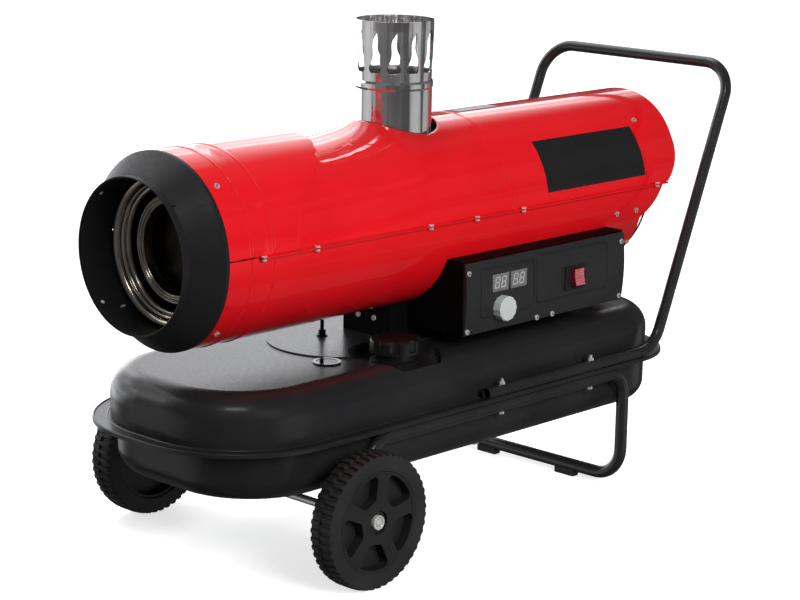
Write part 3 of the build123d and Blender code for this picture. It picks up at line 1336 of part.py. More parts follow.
def ignition_leads():
    """Two leads from the transformer to the electrodes."""
    pair = []
    start = TRANSFORMER_X + TRANSFORMER[0] / 2 + GAP
    low = PLATEAU_Z + TRANSFORMER[2] * 0.6
    high = CASING_Z - ELECTRODE_DROP
    end = NOZZLE_REAR - 2 * ELECTRODE_WIRE_R + GAP
    for side in (-1, 1):
        y = side * ELECTRODE_Y
        corners = [(start, y, low), (LEAD_RISE_X, y, low), (LEAD_RISE_X, y, high), (end, y, high)]
        lead = bent(corners, LEAD_BEND, LEAD_R)
        pair += lead.solids()
    return Compound(pair)


def cable_gland():
    """Gland for the mains cord in the rear of the control box."""
    seat = Plane(origin=(BOX_REAR, GLAND_Y, GLAND_Z), z_dir=(1, 0, 0))
    nut = hex_bar(seat, GLAND_R + 2, 5)
    dome = rod((BOX_REAR + 4, GLAND_Y, GLAND_Z), (BOX_REAR + 18, GLAND_Y, GLAND_Z), GLAND_R)
    dome = fillet(dome.edges().group_by(Axis.X)[-1], 3)
    stem = rod((BOX_REAR - BOX_SHEET - 8, GLAND_Y, GLAND_Z), (BOX_REAR + 1, GLAND_Y, GLAND_Z), GLAND_R - 2)
    gland = nut + dome + stem
    return gland - rod((BOX_REAR - 20, GLAND_Y, GLAND_Z), (BOX_REAR + 20, GLAND_Y, GLAND_Z), 4)


# ---- tubes
def tube_bolt_places():
    """Places of the bolts that clamp the rim between the two tubes."""
    return [(x, side * TUBE_Y) for x in TUBE_BOLT_PLACES for side in (-1, 1)]


def tube_bolt_shanks(clearance):
    """Shanks of those bolts."""
    low = FRAME_Z - FRAME_R
    high = HANDLE_Z + HANDLE_R + TUBE_NUT + TUBE_BOLT_END
    return [rod((x, y, low), (x, y, high), TUBE_BOLT_R + clearance) for x, y in tube_bolt_places()]


def handle_tube():
    """Push handle, one bent tube."""
    low = [(HANDLE_FRONT, HANDLE_Z), (HANDLE_FOOT, HANDLE_Z), (HANDLE_BAR_X, HANDLE_BAR_Z)]
    near = [(x, -TUBE_Y, z) for x, z in low]
    far = [(x, TUBE_Y, z) for x, z in reversed(low)]
    return bent(near + far, HANDLE_BEND, HANDLE_R, TUBE_WALL) - tube_bolt_shanks(GAP)


def frame_tube():
    """Under-frame, one bent tube from axle to axle by way of the foot."""
    run = (FRAME_FRONT - AXLE_X) / (FRAME_Z - WHEEL_R)
    end_z = WHEEL_R - 2 * AXLE_R
    low = [(AXLE_X - run * 2 * AXLE_R, end_z), (FRAME_FRONT, FRAME_Z), (LEG_X, FRAME_Z), (LEG_X, CROSS_Z)]
    near = [(x, -TUBE_Y, z) for x, z in low]
    far = [(x, TUBE_Y, z) for x, z in reversed(low)]
    bends = [FRAME_BEND, LEG_BEND, CROSS_BEND, CROSS_BEND, LEG_BEND, FRAME_BEND]
    tube = bent(near + far, bends, FRAME_R, TUBE_WALL)
    axle_hole = rod((AXLE_X, -WHEEL_OUT, WHEEL_R), (AXLE_X, WHEEL_OUT, WHEEL_R), AXLE_R + GAP / 2)
    return tube - axle_hole - tube_bolt_shanks(GAP)


def tube_bolts():
    """Bolts through frame, rim and handle, with their heads underneath."""
    bolts = []
    for (x, y), shank in zip(tube_bolt_places(), tube_bolt_shanks(0)):
        seat = Plane(origin=(x, y, FRAME_Z - FRAME_R - TUBE_BOLT_HEAD))
        bolts += (shank + hex_bar(seat, TUBE_BOLT_HEAD_R, TUBE_BOLT_HEAD)).solids()
    return Compound(bolts)


def tube_nuts():
    """Nuts on top of the handle tube."""
    nuts = []
    low = HANDLE_Z + HANDLE_R
    for x, y in tube_bolt_places():
        nut = hex_bar(Plane(origin=(x, y, low)), TUBE_BOLT_HEAD_R, TUBE_NUT)
        nuts += (nut - rod((x, y, low - 1), (x, y, low + TUBE_NUT + 1), TUBE_BOLT_R + RUN_FIT)).solids()
    return Compound(nuts)


def foot_pads():
    """Rubber pads under the cross tube."""
    pads = []
    for side in (-1, 1):
        y = side * PAD_Y
        pad = Pos(LEG_X, y, PAD_TOP / 2) * Box(PAD_LENGTH, PAD_WIDTH, PAD_TOP)
        pad = chamfer(pad.edges().filter_by(Axis.Y).group_by(Axis.Z)[0], 2)
        pad -= rod((LEG_X, y - PAD_WIDTH, CROSS_Z), (LEG_X, y + PAD_WIDTH, CROSS_Z), FRAME_R + GAP)
        pads += pad.solids()
    return Compound(pads)


# ---- wheels
def axle():
    """Bright axle rod."""
    end = WHEEL_OUT - HUB_RECESS + CAP_PIN
    return rod((AXLE_X, -end, WHEEL_R), (AXLE_X, end, WHEEL_R), AXLE_R)


def wheel_turned(points, side):
    """Ring turned about the axle, from (radius, distance from the wheel's inner face) points."""
    outline = face_of([(radius, WHEEL_IN + depth) for radius, depth in points])
    ring = revolve(outline, Axis.Y, 360)
    if side < 0:
        ring = mirror(ring, about=Plane.XZ)
    return Pos(AXLE_X, 0, WHEEL_R) * ring


def wheel_window():
    """One pocket of the wheel in its own plane, about the wheel's middle."""
    corners = []
    inner = [(WINDOW_IN, -WINDOW_IN_HALF), (WINDOW_OUT, -WINDOW_OUT_HALF)]
    outer = [(WINDOW_OUT, WINDOW_OUT_HALF), (WINDOW_IN, WINDOW_IN_HALF)]
    for radius, angle in inner + outer:
        turn = math.radians(angle)
        corners.append((radius * math.cos(turn), radius * math.sin(turn)))
    curve = ThreePointArc(corners[1], (WINDOW_OUT, 0), corners[2])
    sides = Polyline(corners[2], corners[3], corners[0], corners[1])
    window = make_face([curve, sides])
    return fillet(window.vertices(), WINDOW_CORNER)


def wheel_hub(side):
    """Moulded wheel centre with five pockets."""
    w = WHEEL_WIDTH
    bore = AXLE_R + RUN_FIT
    web_out = w - WEB_SET_IN
    web_in = web_out - WEB
    wall = RIM_R - RIM_WALL
    hub = wheel_turned([(bore, 0), (HUB_R, 0), (HUB_R, web_in), (wall, web_in), (wall, 3), (RIM_R, 3),
                        (RIM_R, web_out + RIM_STEP), (wall, web_out + RIM_STEP), (wall - RIM_STEP, web_out),
                        (HUB_RECESS_R, web_out), (HUB_RECESS_R, w - HUB_RECESS), (bore, w - HUB_RECESS)],
                       side)
    window = wheel_window()
    face = side * (WHEEL_IN + web_out)
    for number in range(WINDOWS):
        turn = WINDOW_TURN + number * 360.0 / WINDOWS
        plane = Plane(origin=(AXLE_X, face, WHEEL_R), x_dir=(1, 0, 0), z_dir=(0, -1, 0))
        hub -= extrude(plane * Rot(0, 0, turn) * window, WINDOW_DEPTH, both=True)
    return hub


def wheel_tyre(side):
    """Solid tyre with a slightly crowned tread."""
    w = WHEEL_WIDTH
    r = WHEEL_R
    edge = r - TREAD_DROP
    hole = RIM_R + GAP
    return wheel_turned([(hole, 1), (hole + 2, 0), (edge - 1.5, 0), (edge, 1.5), (r, w / 4), (r, w * 3 / 4),
                         (edge, w - 1.5), (edge - 1.5, w), (hole + 2, w), (hole, w - 1)], side)


def push_caps():
    """Push-on caps that keep the wheels on the axle."""
    caps = []
    for side in (-1, 1):
        start = side * (WHEEL_OUT - HUB_RECESS + GAP)
        inner = WHEEL_OUT - HUB_RECESS + CAP_PIN + GAP
        end = side * (inner + CAP_PIN_WALL)
        shell = rod((AXLE_X, start, WHEEL_R), (AXLE_X, end, WHEEL_R), CAP_PIN_R)
        shell -= rod((AXLE_X, start - side, WHEEL_R), (AXLE_X, side * inner, WHEEL_R), AXLE_R + GAP)
        caps += shell.solids()
    return Compound(caps)


def main():
    os.makedirs("parts", exist_ok=True)
    builders = [outlet_cone, outlet_liner, front_shell, rear_hood, lower_shell, seam_bolts, casing_screws,
                flue_pipe, flue_cowl, flue_spigot, combustion_chamber, exchanger_jacket, burner_tube,
                diffuser_disc, nozzle_holder, electrodes, photocell, motor, motor_shaft, fan, fuel_pump,
                motor_bracket, rear_guard, fuel_filter, suction_pipe, delivery_pipe, tank_upper, tank_lower,
                drain_plug, filler_neck, fuel_cap, cap_gasket, gauge_body, gauge_lens, gauge_needle,
                float_arm,
                pedestal, control_housing, control_panel, panel_screws, displays, thermostat_knob,
                potentiometer, rocker_frame, rocker, control_board, ignition_transformer, ignition_leads,
                cable_gland, handle_tube, frame_tube, tube_bolts, tube_nuts, foot_pads, axle, push_caps]
    for build in builders:
        write(build.__name__, build())
    for name, side in (("left", 1), ("right", -1)):
        write(f"{name}_wheel_hub", wheel_hub(side))
        write(f"{name}_tyre", wheel_tyre(side))


main()
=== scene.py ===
import bmesh
import bpy
import math
from mathutils import Matrix, Vector


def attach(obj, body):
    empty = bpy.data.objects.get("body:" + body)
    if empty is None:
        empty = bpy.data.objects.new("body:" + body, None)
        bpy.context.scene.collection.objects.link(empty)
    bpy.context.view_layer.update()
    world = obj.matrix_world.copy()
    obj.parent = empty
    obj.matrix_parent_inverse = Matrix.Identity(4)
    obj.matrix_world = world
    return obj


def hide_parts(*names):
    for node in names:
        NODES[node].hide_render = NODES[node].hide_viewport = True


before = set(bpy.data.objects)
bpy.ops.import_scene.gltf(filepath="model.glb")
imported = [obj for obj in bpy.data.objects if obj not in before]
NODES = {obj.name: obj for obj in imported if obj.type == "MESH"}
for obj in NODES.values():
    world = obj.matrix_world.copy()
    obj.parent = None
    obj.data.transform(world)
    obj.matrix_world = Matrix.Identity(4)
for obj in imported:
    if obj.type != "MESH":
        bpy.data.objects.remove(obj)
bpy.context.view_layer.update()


# ---- camera
CAMERA_ANGLES = (-46.63, 13.04, 1.02)               # turn, lift and roll in degrees
CAMERA_PLACE = (-2.55703, -2.39425, 1.13356)        # metres
CAMERA_LENS = 103.397
CAMERA_SHIFT = 0.0034
FILM_WIDTH = 36.0


def place_camera():
    turn, lift, roll = (math.radians(angle) for angle in CAMERA_ANGLES)
    back = Vector((math.sin(turn) * math.cos(lift), -math.cos(turn) * math.cos(lift), math.sin(lift)))
    right = (-back).cross(Vector((0, 0, 1))).normalized()
    up = right.cross(-back)
    side = math.cos(roll) * right + math.sin(roll) * up
    top = -math.sin(roll) * right + math.cos(roll) * up
    place = Vector(CAMERA_PLACE)
    data = bpy.data.cameras.new("camera")
    data.lens = CAMERA_LENS
    data.sensor_width = FILM_WIDTH
    data.shift_y = CAMERA_SHIFT
    data.clip_end = 60.0
    camera = bpy.data.objects.new("camera", data)
    camera.matrix_world = Matrix((
        (side.x, top.x, back.x, place.x), (side.y, top.y, back.y, place.y),
        (side.z, top.z, back.z, place.z), (0, 0, 0, 1)))
    bpy.context.scene.collection.objects.link(camera)
    bpy.context.scene.camera = camera


place_camera()
bpy.context.scene.view_settings.view_transform = "Standard"


# ---- materials
class Surface:
    """A Principled material with helpers for its nodes."""

    def __init__(self, name, **values):
        self.material = bpy.data.materials.new(name)
        self.material.use_nodes = True
        self.tree = self.material.node_tree
        self.tree.nodes.clear()
        output = self.tree.nodes.new("ShaderNodeOutputMaterial")
        self.shader = self.tree.nodes.new("ShaderNodeBsdfPrincipled")
        self.tree.links.new(self.shader.outputs[0], output.inputs[0])
        self.place = self.tree.nodes.new("ShaderNodeTexCoord").outputs["Object"]
        for key, value in values.items():
            self.shader.inputs[key.replace("_", " ")].default_value = value

    def add(self, kind, **values):
        node = self.tree.nodes.new("ShaderNode" + kind)
        for key, value in values.items():
            setattr(node, key, value)
        return node

    def link(self, source, target):
        self.tree.links.new(source, target)

    def stretched(self, scale):
        node = self.add("Mapping")
        node.inputs["Scale"].default_value = scale
        self.link(self.place, node.inputs["Vector"])
        return node.outputs[0]

    def noise(self, scale, detail=3.0, rough=0.5, place=None):
        node = self.add("TexNoise")
        node.inputs["Scale"].default_value = scale
        node.inputs["Detail"].default_value = detail
        node.inputs["Roughness"].default_value = rough
        self.link(place or self.place, node.inputs["Vector"])
        return node.outputs["Fac"]

    def ramp(self, source, low, high, start=0.3, end=0.7):
        node = self.add("MapRange")
        node.inputs["From Min"].default_value = start
        node.inputs["From Max"].default_value = end
        node.inputs["To Min"].default_value = low
        node.inputs["To Max"].default_value = high
        self.link(source, node.inputs["Value"])
        return node.outputs[0]

    def mix(self, factor, first, second):
        node = self.add("Mix", data_type="RGBA")
        for socket, value in ((node.inputs[0], factor), (node.inputs[6], first), (node.inputs[7], second)):
            if isinstance(value, (tuple, float)):
                socket.default_value = value
            else:
                self.link(value, socket)
        return node.outputs[2]

    def bump(self, height, strength, distance, below=None):
        node = self.add("Bump")
        node.inputs["Strength"].default_value = strength
        node.inputs["Distance"].default_value = distance
        self.link(height, node.inputs["Height"])
        if below is not None:
            self.link(below, node.inputs["Normal"])
        return node.outputs[0]

    def colour(self, source):
        self.link(source, self.shader.inputs["Base Color"])

    def gloss(self, source):
        self.link(source, self.shader.inputs["Roughness"])

    def relief(self, source):
        self.link(source, self.shader.inputs["Normal"])


def enamel(name, light, dark, rough, peel=0.10, wave=0.12, coat=0.5, coat_rough=0.06, level=0.5):
    """Sprayed enamel on pressed sheet: slight orange peel, faint waves in the sheet and fine dust."""
    s = Surface(name, Metallic=0.0, IOR=1.5, Coat_Weight=coat, Coat_Roughness=coat_rough)
    s.shader.inputs["Specular IOR Level"].default_value = level
    cloud = s.noise(9.0, 4.0)
    s.colour(s.mix(s.ramp(cloud, 0.0, 1.0), light, dark))
    speck = s.noise(160.0, 5.0, 0.7)
    s.gloss(s.ramp(speck, rough * 0.85, rough * 1.25))
    waves = s.bump(s.noise(7.0, 1.0), wave, 0.0008)
    s.relief(s.bump(s.noise(620.0, 1.0), peel, 0.00012, waves))
    return s.material


def bare_metal(name, light, dark, rough, grain, strength=0.15, metallic=1.0):
    """Bare or plated metal with a directional grain, faint stains and rubbed roughness."""
    s = Surface(name, Metallic=metallic, IOR=2.5)
    lines = s.noise(1.0, 6.0, 0.6, s.stretched(grain))
    stain = s.noise(24.0, 4.0)
    s.colour(s.mix(s.ramp(stain, 0.0, 1.0), light, dark))
    s.gloss(s.ramp(lines, rough * 0.7, rough * 1.35))
    s.relief(s.bump(lines, strength, 0.0002))
    return s.material


def moulded(name, light, dark, rough, grain=900.0, depth=0.25):
    """Moulded plastic or rubber with a fine spark-eroded grain and soft colour change."""
    s = Surface(name, Metallic=0.0, IOR=1.46)
    cloud = s.noise(14.0, 3.0)
    s.colour(s.mix(s.ramp(cloud, 0.0, 1.0), light, dark))
    fine = s.noise(grain, 2.0)
    s.gloss(s.ramp(fine, rough * 0.85, rough * 1.15))
    s.relief(s.bump(fine, depth, 0.0001))
    return s.material


def polished(name):
    """Polished sheet that is drawn lengthwise: upright waves give streaky reflections."""
    s = Surface(name, Metallic=0.94, IOR=2.5)
    streak = s.noise(1.0, 3.0, 0.55, s.stretched((26, 26, 1.2)))
    stain = s.noise(30.0, 4.0)
    s.colour(s.mix(s.ramp(stain, 0.0, 1.0), (0.84, 0.83, 0.82, 1), (0.72, 0.71, 0.70, 1)))
    s.gloss(s.ramp(s.noise(1.0, 5.0, 0.6, s.stretched((300, 300, 6))), 0.03, 0.09))
    s.relief(s.bump(streak, 0.5, 0.006))
    return s.material


RED = (0.74, 0.007, 0.012, 1)
RED_DEEP = (0.69, 0.005, 0.010, 1)
FINISH = {
    "red": enamel("red_enamel", RED, RED_DEEP, 0.35, 0.05, 0.10, 1.0, 0.02, 0.08),
    "black": enamel("black_enamel", (0.012, 0.012, 0.013, 1), (0.018, 0.018, 0.019, 1),
                    0.30, 0.14, 0.10, 0.14, 0.12, 0.30),
    # control housing and pedestal: the same black as the panel, made darker as painted shade where the
    # casing shadows them
    "shade": enamel("box_black_painted_shade", (0.002, 0.002, 0.002, 1), (0.004, 0.004, 0.004, 1),
                    0.62, 0.20, 0.05, 0.0, 0.3, 0.06),
    "gauge": bare_metal("gauge_metal", (0.16, 0.16, 0.165, 1), (0.11, 0.11, 0.115, 1),
                        0.10, (90, 90, 90), 0.05),
    "outlet": enamel("outlet_black", (0.009, 0.009, 0.010, 1), (0.013, 0.013, 0.014, 1),
                     0.46, 0.20, 0.05, 0.0, 0.3, 0.35),
    "tube": enamel("tube_black", (0.012, 0.012, 0.013, 1), (0.020, 0.020, 0.021, 1),
                   0.26, 0.16, 0.04, 0.3, 0.1),
    "stainless": bare_metal("burnt_steel", (0.075, 0.065, 0.055, 1), (0.040, 0.032, 0.028, 1),
                            0.38, (30, 30, 30)),
    "ring": bare_metal("stainless_rings", (0.66, 0.61, 0.54, 1), (0.42, 0.37, 0.31, 1),
                       0.20, (60, 9, 9), 0.25),
    "bright": bare_metal("bright_zinc", (0.88, 0.87, 0.84, 1), (0.74, 0.73, 0.70, 1),
                         0.20, (200, 200, 200), 0.15, 0.45),
    "plate": enamel("black_film", (0.010, 0.010, 0.010, 1), (0.013, 0.013, 0.013, 1),
                    0.30, 0.03, 0.05, 0.2, 0.1, 0.4),
    "plate_grey": bare_metal("grey_plate", (0.42, 0.43, 0.45, 1), (0.36, 0.37, 0.39, 1),
                             0.40, (80, 80, 80)),
    # dark cross marks on the bright screw heads: painted shade of their recesses
    "recess": moulded("screw_recess", (0.02, 0.02, 0.02, 1), (0.04, 0.04, 0.04, 1), 0.5),
    "segment": moulded("display_segment", (0.44, 0.45, 0.44, 1), (0.37, 0.38, 0.37, 1),
                       0.35, 900.0, 0.1),
    "flue": polished("flue_steel"),
    "zinc": bare_metal("zinc_plate", (0.78, 0.77, 0.74, 1), (0.64, 0.63, 0.60, 1),
                       0.26, (300, 300, 300), 0.15, 0.5),
    "blackscrew": bare_metal("black_screw", (0.06, 0.06, 0.06, 1), (0.03, 0.03, 0.03, 1),
                             0.38, (300, 300, 300)),
    "cast": bare_metal("cast_alloy", (0.45, 0.45, 0.46, 1), (0.33, 0.33, 0.34, 1),
                       0.45, (220, 220, 220), 0.4),
    "motor": enamel("motor_paint", (0.05, 0.055, 0.06, 1), (0.07, 0.075, 0.08, 1), 0.42),
    "fan": moulded("fan_plastic", (0.03, 0.03, 0.032, 1), (0.04, 0.04, 0.042, 1), 0.42),
    "ceramic": moulded("ceramic", (0.80, 0.78, 0.72, 1), (0.72, 0.70, 0.64, 1), 0.25, 300.0, 0.1),
    "copper": bare_metal("copper_pipe", (0.70, 0.34, 0.20, 1), (0.55, 0.26, 0.16, 1),
                         0.28, (60, 60, 60)),
    "filter": moulded("filter_bowl", (0.55, 0.52, 0.42, 1), (0.48, 0.45, 0.36, 1), 0.18),
    "cap": moulded("cap_plastic", (0.006, 0.006, 0.006, 1), (0.010, 0.010, 0.010, 1), 0.34, 700.0, 0.3),
    "rubber": moulded("rubber", (0.014, 0.014, 0.014, 1), (0.022, 0.021, 0.020, 1), 0.62, 500.0, 0.5),
    "needle": moulded("needle_red", (0.70, 0.02, 0.01, 1), (0.62, 0.02, 0.01, 1), 0.35),
    "panel": enamel("panel_black", (0.014, 0.014, 0.015, 1), (0.020, 0.020, 0.021, 1),
                    0.42, 0.30, 0.05, 0.0, 0.3),
    "display": moulded("display_face", (0.15, 0.15, 0.148, 1), (0.19, 0.19, 0.185, 1),
                       0.30, 500.0, 0.3),
    "knob": moulded("knob_grey", (0.55, 0.59, 0.58, 1), (0.50, 0.54, 0.53, 1), 0.38, 800.0, 0.2),
    "switch": moulded("switch_black", (0.012, 0.012, 0.012, 1), (0.016, 0.016, 0.016, 1),
                      0.18, 900.0, 0.1),
    "board": moulded("board_green", (0.02, 0.12, 0.05, 1), (0.02, 0.09, 0.04, 1), 0.4),
    "transformer": moulded("transformer_case", (0.03, 0.03, 0.035, 1), (0.04, 0.04, 0.045, 1), 0.35),
    "lead": moulded("lead_rubber", (0.35, 0.02, 0.02, 1), (0.28, 0.02, 0.02, 1), 0.4),
    "wheel": moulded("wheel_plastic", (0.012, 0.012, 0.012, 1), (0.018, 0.018, 0.018, 1),
                     0.48, 600.0, 0.35),
    "tyre": moulded("tyre_plastic", (0.016, 0.016, 0.016, 1), (0.026, 0.025, 0.024, 1),
                    0.58, 420.0, 0.6),
}


def rocker_painted_light():
    """Translucent red plastic with painted light: a pale, streaked painted highlight where it faces forward
    and deep red painted shade at the sides.
    """
    s = Surface("rocker_red_painted_light", Metallic=0.0, IOR=1.49, Coat_Weight=1.0, Coat_Roughness=0.03)
    split = s.add("SeparateXYZ")
    s.link(s.add("NewGeometry").outputs["Normal"], split.inputs[0])
    # mask of the forward face, which takes the painted highlight
    front = s.ramp(split.outputs[1], 1.0, 0.0, -1.0, -0.80)
    streak = s.noise(1.0, 3.0, 0.6, s.stretched((60, 60, 420)))
    # pale pink with streaks: painted highlight on the forward face
    pale = s.mix(s.ramp(streak, 0.0, 1.0), (0.62, 0.22, 0.26, 1), (0.42, 0.05, 0.08, 1))
    # deep red at the sides: painted shade
    s.colour(s.mix(front, (0.20, 0.004, 0.010, 1), pale))
    s.gloss(s.ramp(streak, 0.10, 0.22))
    return s.material


def clear_lens():
    """Clear disc: see-through, with a gloss that grows at a slant."""
    s = Surface("gauge_lens")
    clear = s.add("BsdfTransparent")
    gloss = s.add("BsdfGlossy")
    tint = s.mix(s.ramp(s.noise(80.0, 6.0, 0.7), 0.0, 1.0), (0.90, 0.92, 0.91, 1), (0.80, 0.83, 0.82, 1))
    s.link(tint, clear.inputs["Color"])
    s.link(s.ramp(s.noise(60.0, 3.0), 0.03, 0.08), gloss.inputs["Roughness"])
    slant = s.add("Fresnel")
    slant.inputs["IOR"].default_value = 1.49
    both = s.add("MixShader")
    s.link(slant.outputs[0], both.inputs[0])
    s.link(clear.outputs[0], both.inputs[1])
    s.link(gloss.outputs[0], both.inputs[2])
    output = [node for node in s.tree.nodes if node.type == "OUTPUT_MATERIAL"][0]
    s.link(both.outputs[0], output.inputs[0])
    s.tree.nodes.remove(s.shader)
    return s.material


FINISH["lens"] = clear_lens()
FINISH["rocker"] = rocker_painted_light()

WEAR = {
    "red": ("front_shell", "rear_hood", "lower_shell"),
    "outlet": ("outlet_cone", "outlet_liner"),
    "shade": ("pedestal", "control_housing"),
    "gauge": ("gauge_body",),
    "black": ("tank_upper", "tank_lower"),
    "tube": ("handle_tube", "frame_tube", "rear_guard", "motor_bracket"),
    "stainless": ("combustion_chamber", "exchanger_jacket", "diffuser_disc", "burner_tube"),
    "flue": ("flue_pipe", "flue_cowl", "flue_spigot"),
    "zinc": ("seam_bolts", "casing_screws", "panel_screws", "tube_bolts", "tube_nuts", "drain_plug", "axle",
             "push_caps", "nozzle_holder", "float_arm", "motor_shaft"),
    "cast": ("fuel_pump",),
    "motor": ("motor",),
    "fan": ("fan",),
    "ceramic": ("electrodes",),
    "copper": ("delivery_pipe",),
    "blackscrew": ("suction_pipe",),
    "filter": ("fuel_filter",),
    "cap": ("fuel_cap", "filler_neck", "cable_gland", "photocell"),
    "rubber": ("cap_gasket", "foot_pads"),
    "needle": ("gauge_needle",),
    "lens": ("gauge_lens",),
    "panel": ("control_panel",),
    "display": ("displays",),
    "knob": ("thermostat_knob",),
    "rocker": ("rocker",),
    "switch": ("rocker_frame", "potentiometer"),
    "board": ("control_board",),
    "transformer": ("ignition_transformer",),
    "lead": ("ignition_leads",),
    "wheel": ("left_wheel_hub", "right_wheel_hub"),
    "tyre": ("left_tyre", "right_tyre"),
}


def dress(name, material):
    mesh = NODES[name].data
    if not mesh.materials:
        mesh.materials.append(material)
    for index in range(len(mesh.materials)):
        mesh.materials[index] = material


for finish, names in WEAR.items():
    for node_name in names:
        dress(node_name, FINISH[finish])


# ---- mesh tools, in millimetres
AXIS = (0.0, 475.0)             # y and z of the casing's axis


def grid(rows, closed=False):
    """Points and faces of a grid; closed joins the ends of each row."""
    count = len(rows[0])
    faces = []
    for i in range(len(rows) - 1):
        for j in range(count if closed else count - 1):
            k = (j + 1) % count
            faces.append((i * count + j, i * count + k, (i + 1) * count + k, (i + 1) * count + j))
    return [point for row in rows for point in row], faces


def joined(parts):
    """Several (points, faces) as one."""
    points, faces = [], []
    for more, sides in parts:
        start = len(points)
        points += more
        faces += [tuple(start + index for index in side) for side in sides]
    return points, faces


def piece(name, shape, material, body="heater", stands_for=(), crease=35.0, outward=True):
    """A mesh object in the shared frame that rides on a body."""
    points, faces = shape
    mesh = bpy.data.meshes.new(name)
    mesh.from_pydata([(x / 1000, y / 1000, z / 1000) for x, y, z in points], [], faces)
    mesh.materials.append(material)
    if outward:
        work = bmesh.new()
        work.from_mesh(mesh)
        bmesh.ops.remove_doubles(work, verts=work.verts, dist=1e-6)
        bmesh.ops.recalc_face_normals(work, faces=work.faces)
        work.to_mesh(mesh)
        work.free()
    mesh.polygons.foreach_set("use_smooth", [True] * len(mesh.polygons))
    mesh.set_sharp_from_angle(angle=math.radians(crease))
    obj = bpy.data.objects.new(name, mesh)
    bpy.context.scene.collection.objects.link(obj)
    if stands_for:
        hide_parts(*stands_for)
    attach(obj, body)
    return obj


def turned(profile, place, axis, steps=96):
    """Closed ring turned about a line, from (along, radius) points of its section."""
    rows = []
    for step in range(steps + 1):
        turn = 2 * math.pi * (step % steps) / steps
        row = []
        for along, radius in profile:
            a, b = radius * math.cos(turn), radius * math.sin(turn)
            if axis == "x":
                row.append((along, place[0] + a, place[1] + b))
            elif axis == "y":
                row.append((place[0] + a, along, place[1] + b))
            else:
                row.append((place[0] + a, place[1] + b, along))
        rows.append(row)
    return grid(rows, True)


def box_shape(x0, x1, y0, y1, z0, z1):
    points = [(x, y, z) for x in (x0, x1) for y in (y0, y1) for z in (z0, z1)]
    return points, [(0, 1, 3, 2), (4, 6, 7, 5), (0, 4, 5, 1), (2, 3, 7, 6), (0, 2, 6, 4), (1, 5, 7, 3)]


PRISM = [(0, 1, 2, 3), (4, 5, 6, 7), (0, 1, 5, 4), (1, 2, 6, 5), (2, 3, 7, 6), (3, 0, 4, 7)]


def smooth(value, low, high):
    share = min(max((value - low) / (high - low), 0.0), 1.0)
    return share * share * (3 - 2 * share)


# ---- casing
CASING_R, CASING_FRONT, SHELL_END, SEAM_Z = 141.0, -509.0, 57.0, 480.5
CREASE = ((0.0, -250.0), (40.0, -257.0), (64.0, -270.0), (89.0, -292.0), (110.0, -332.0), (128.0, -363.0),
          (141.0, -379.0))
FLUE_HOLE = (-40.8, 64.0)       # x of its middle, and its radius
BEADS = (-467.0, -425.0)
BEAD_RISE, BEAD_HALF = 1.3, 1.5
WAIST_DEPTH, WAIST_HALF = 0.7, 9.0
SLEEVE_RISE = 0.9
DIP_START, DIP_LENGTH, DIP_DEPTH = -250.0, 147.0, 12.0
FLARE_RISE, FLARE_FADE = 3.6, 14.0
GRID_START = -395.0             # where the grid's rows begin to follow the crease
HOLE_FLOOR = 540.0              # the flue hole cuts only what lies above this
SEAM_SLOT, SLOT_END = 1.6, -463.0
SHEET = 0.0012                  # metres


def crease_x(y):
    """Where the crease crosses the casing at a distance from its middle."""
    y = min(abs(y), CREASE[-1][0])
    for (y0, x0), (y1, x1) in zip(CREASE, CREASE[1:]):
        if y <= y1:
            share = (y - y0) / (y1 - y0)
            bow = 0.0 if y0 == 0 else 0.15 * share * (1 - share)
            return x0 + (x1 - x0) * (share + bow)
    return CREASE[-1][1]


def shell_radius(x, turn, edge):
    """Radius of the upper casing, with its sleeve, beads, crease and the dip in front of the flue."""
    rise = math.sin(turn)
    front = SLEEVE_RISE * (1 - smooth(x, edge - 2.0, edge))
    for bead in BEADS:
        front += BEAD_RISE * math.exp(-((x - bead) / BEAD_HALF) ** 2)
    middle = sum(BEADS) / 2
    front -= WAIST_DEPTH * math.exp(-((x - middle) / WAIST_HALF) ** 4)
    share = (x - DIP_START) / DIP_LENGTH
    deep = DIP_DEPTH * (1 - max(share, 0.0) ** 2.3 - 0.42 * min(share, 0.0)) if share < 1 else 0.0
    deep *= smooth(x, edge - 1.0, edge + 1.6)
    past_hole = math.hypot(x - FLUE_HOLE[0], CASING_R * math.cos(turn)) - FLUE_HOLE[1]
    flare = 0.0
    if past_hole > -8:
        flare = FLARE_RISE * math.exp(-past_hole / FLARE_FADE) * smooth(-x, 20.0, 105.0)
    return CASING_R + front - deep * rise + flare * rise


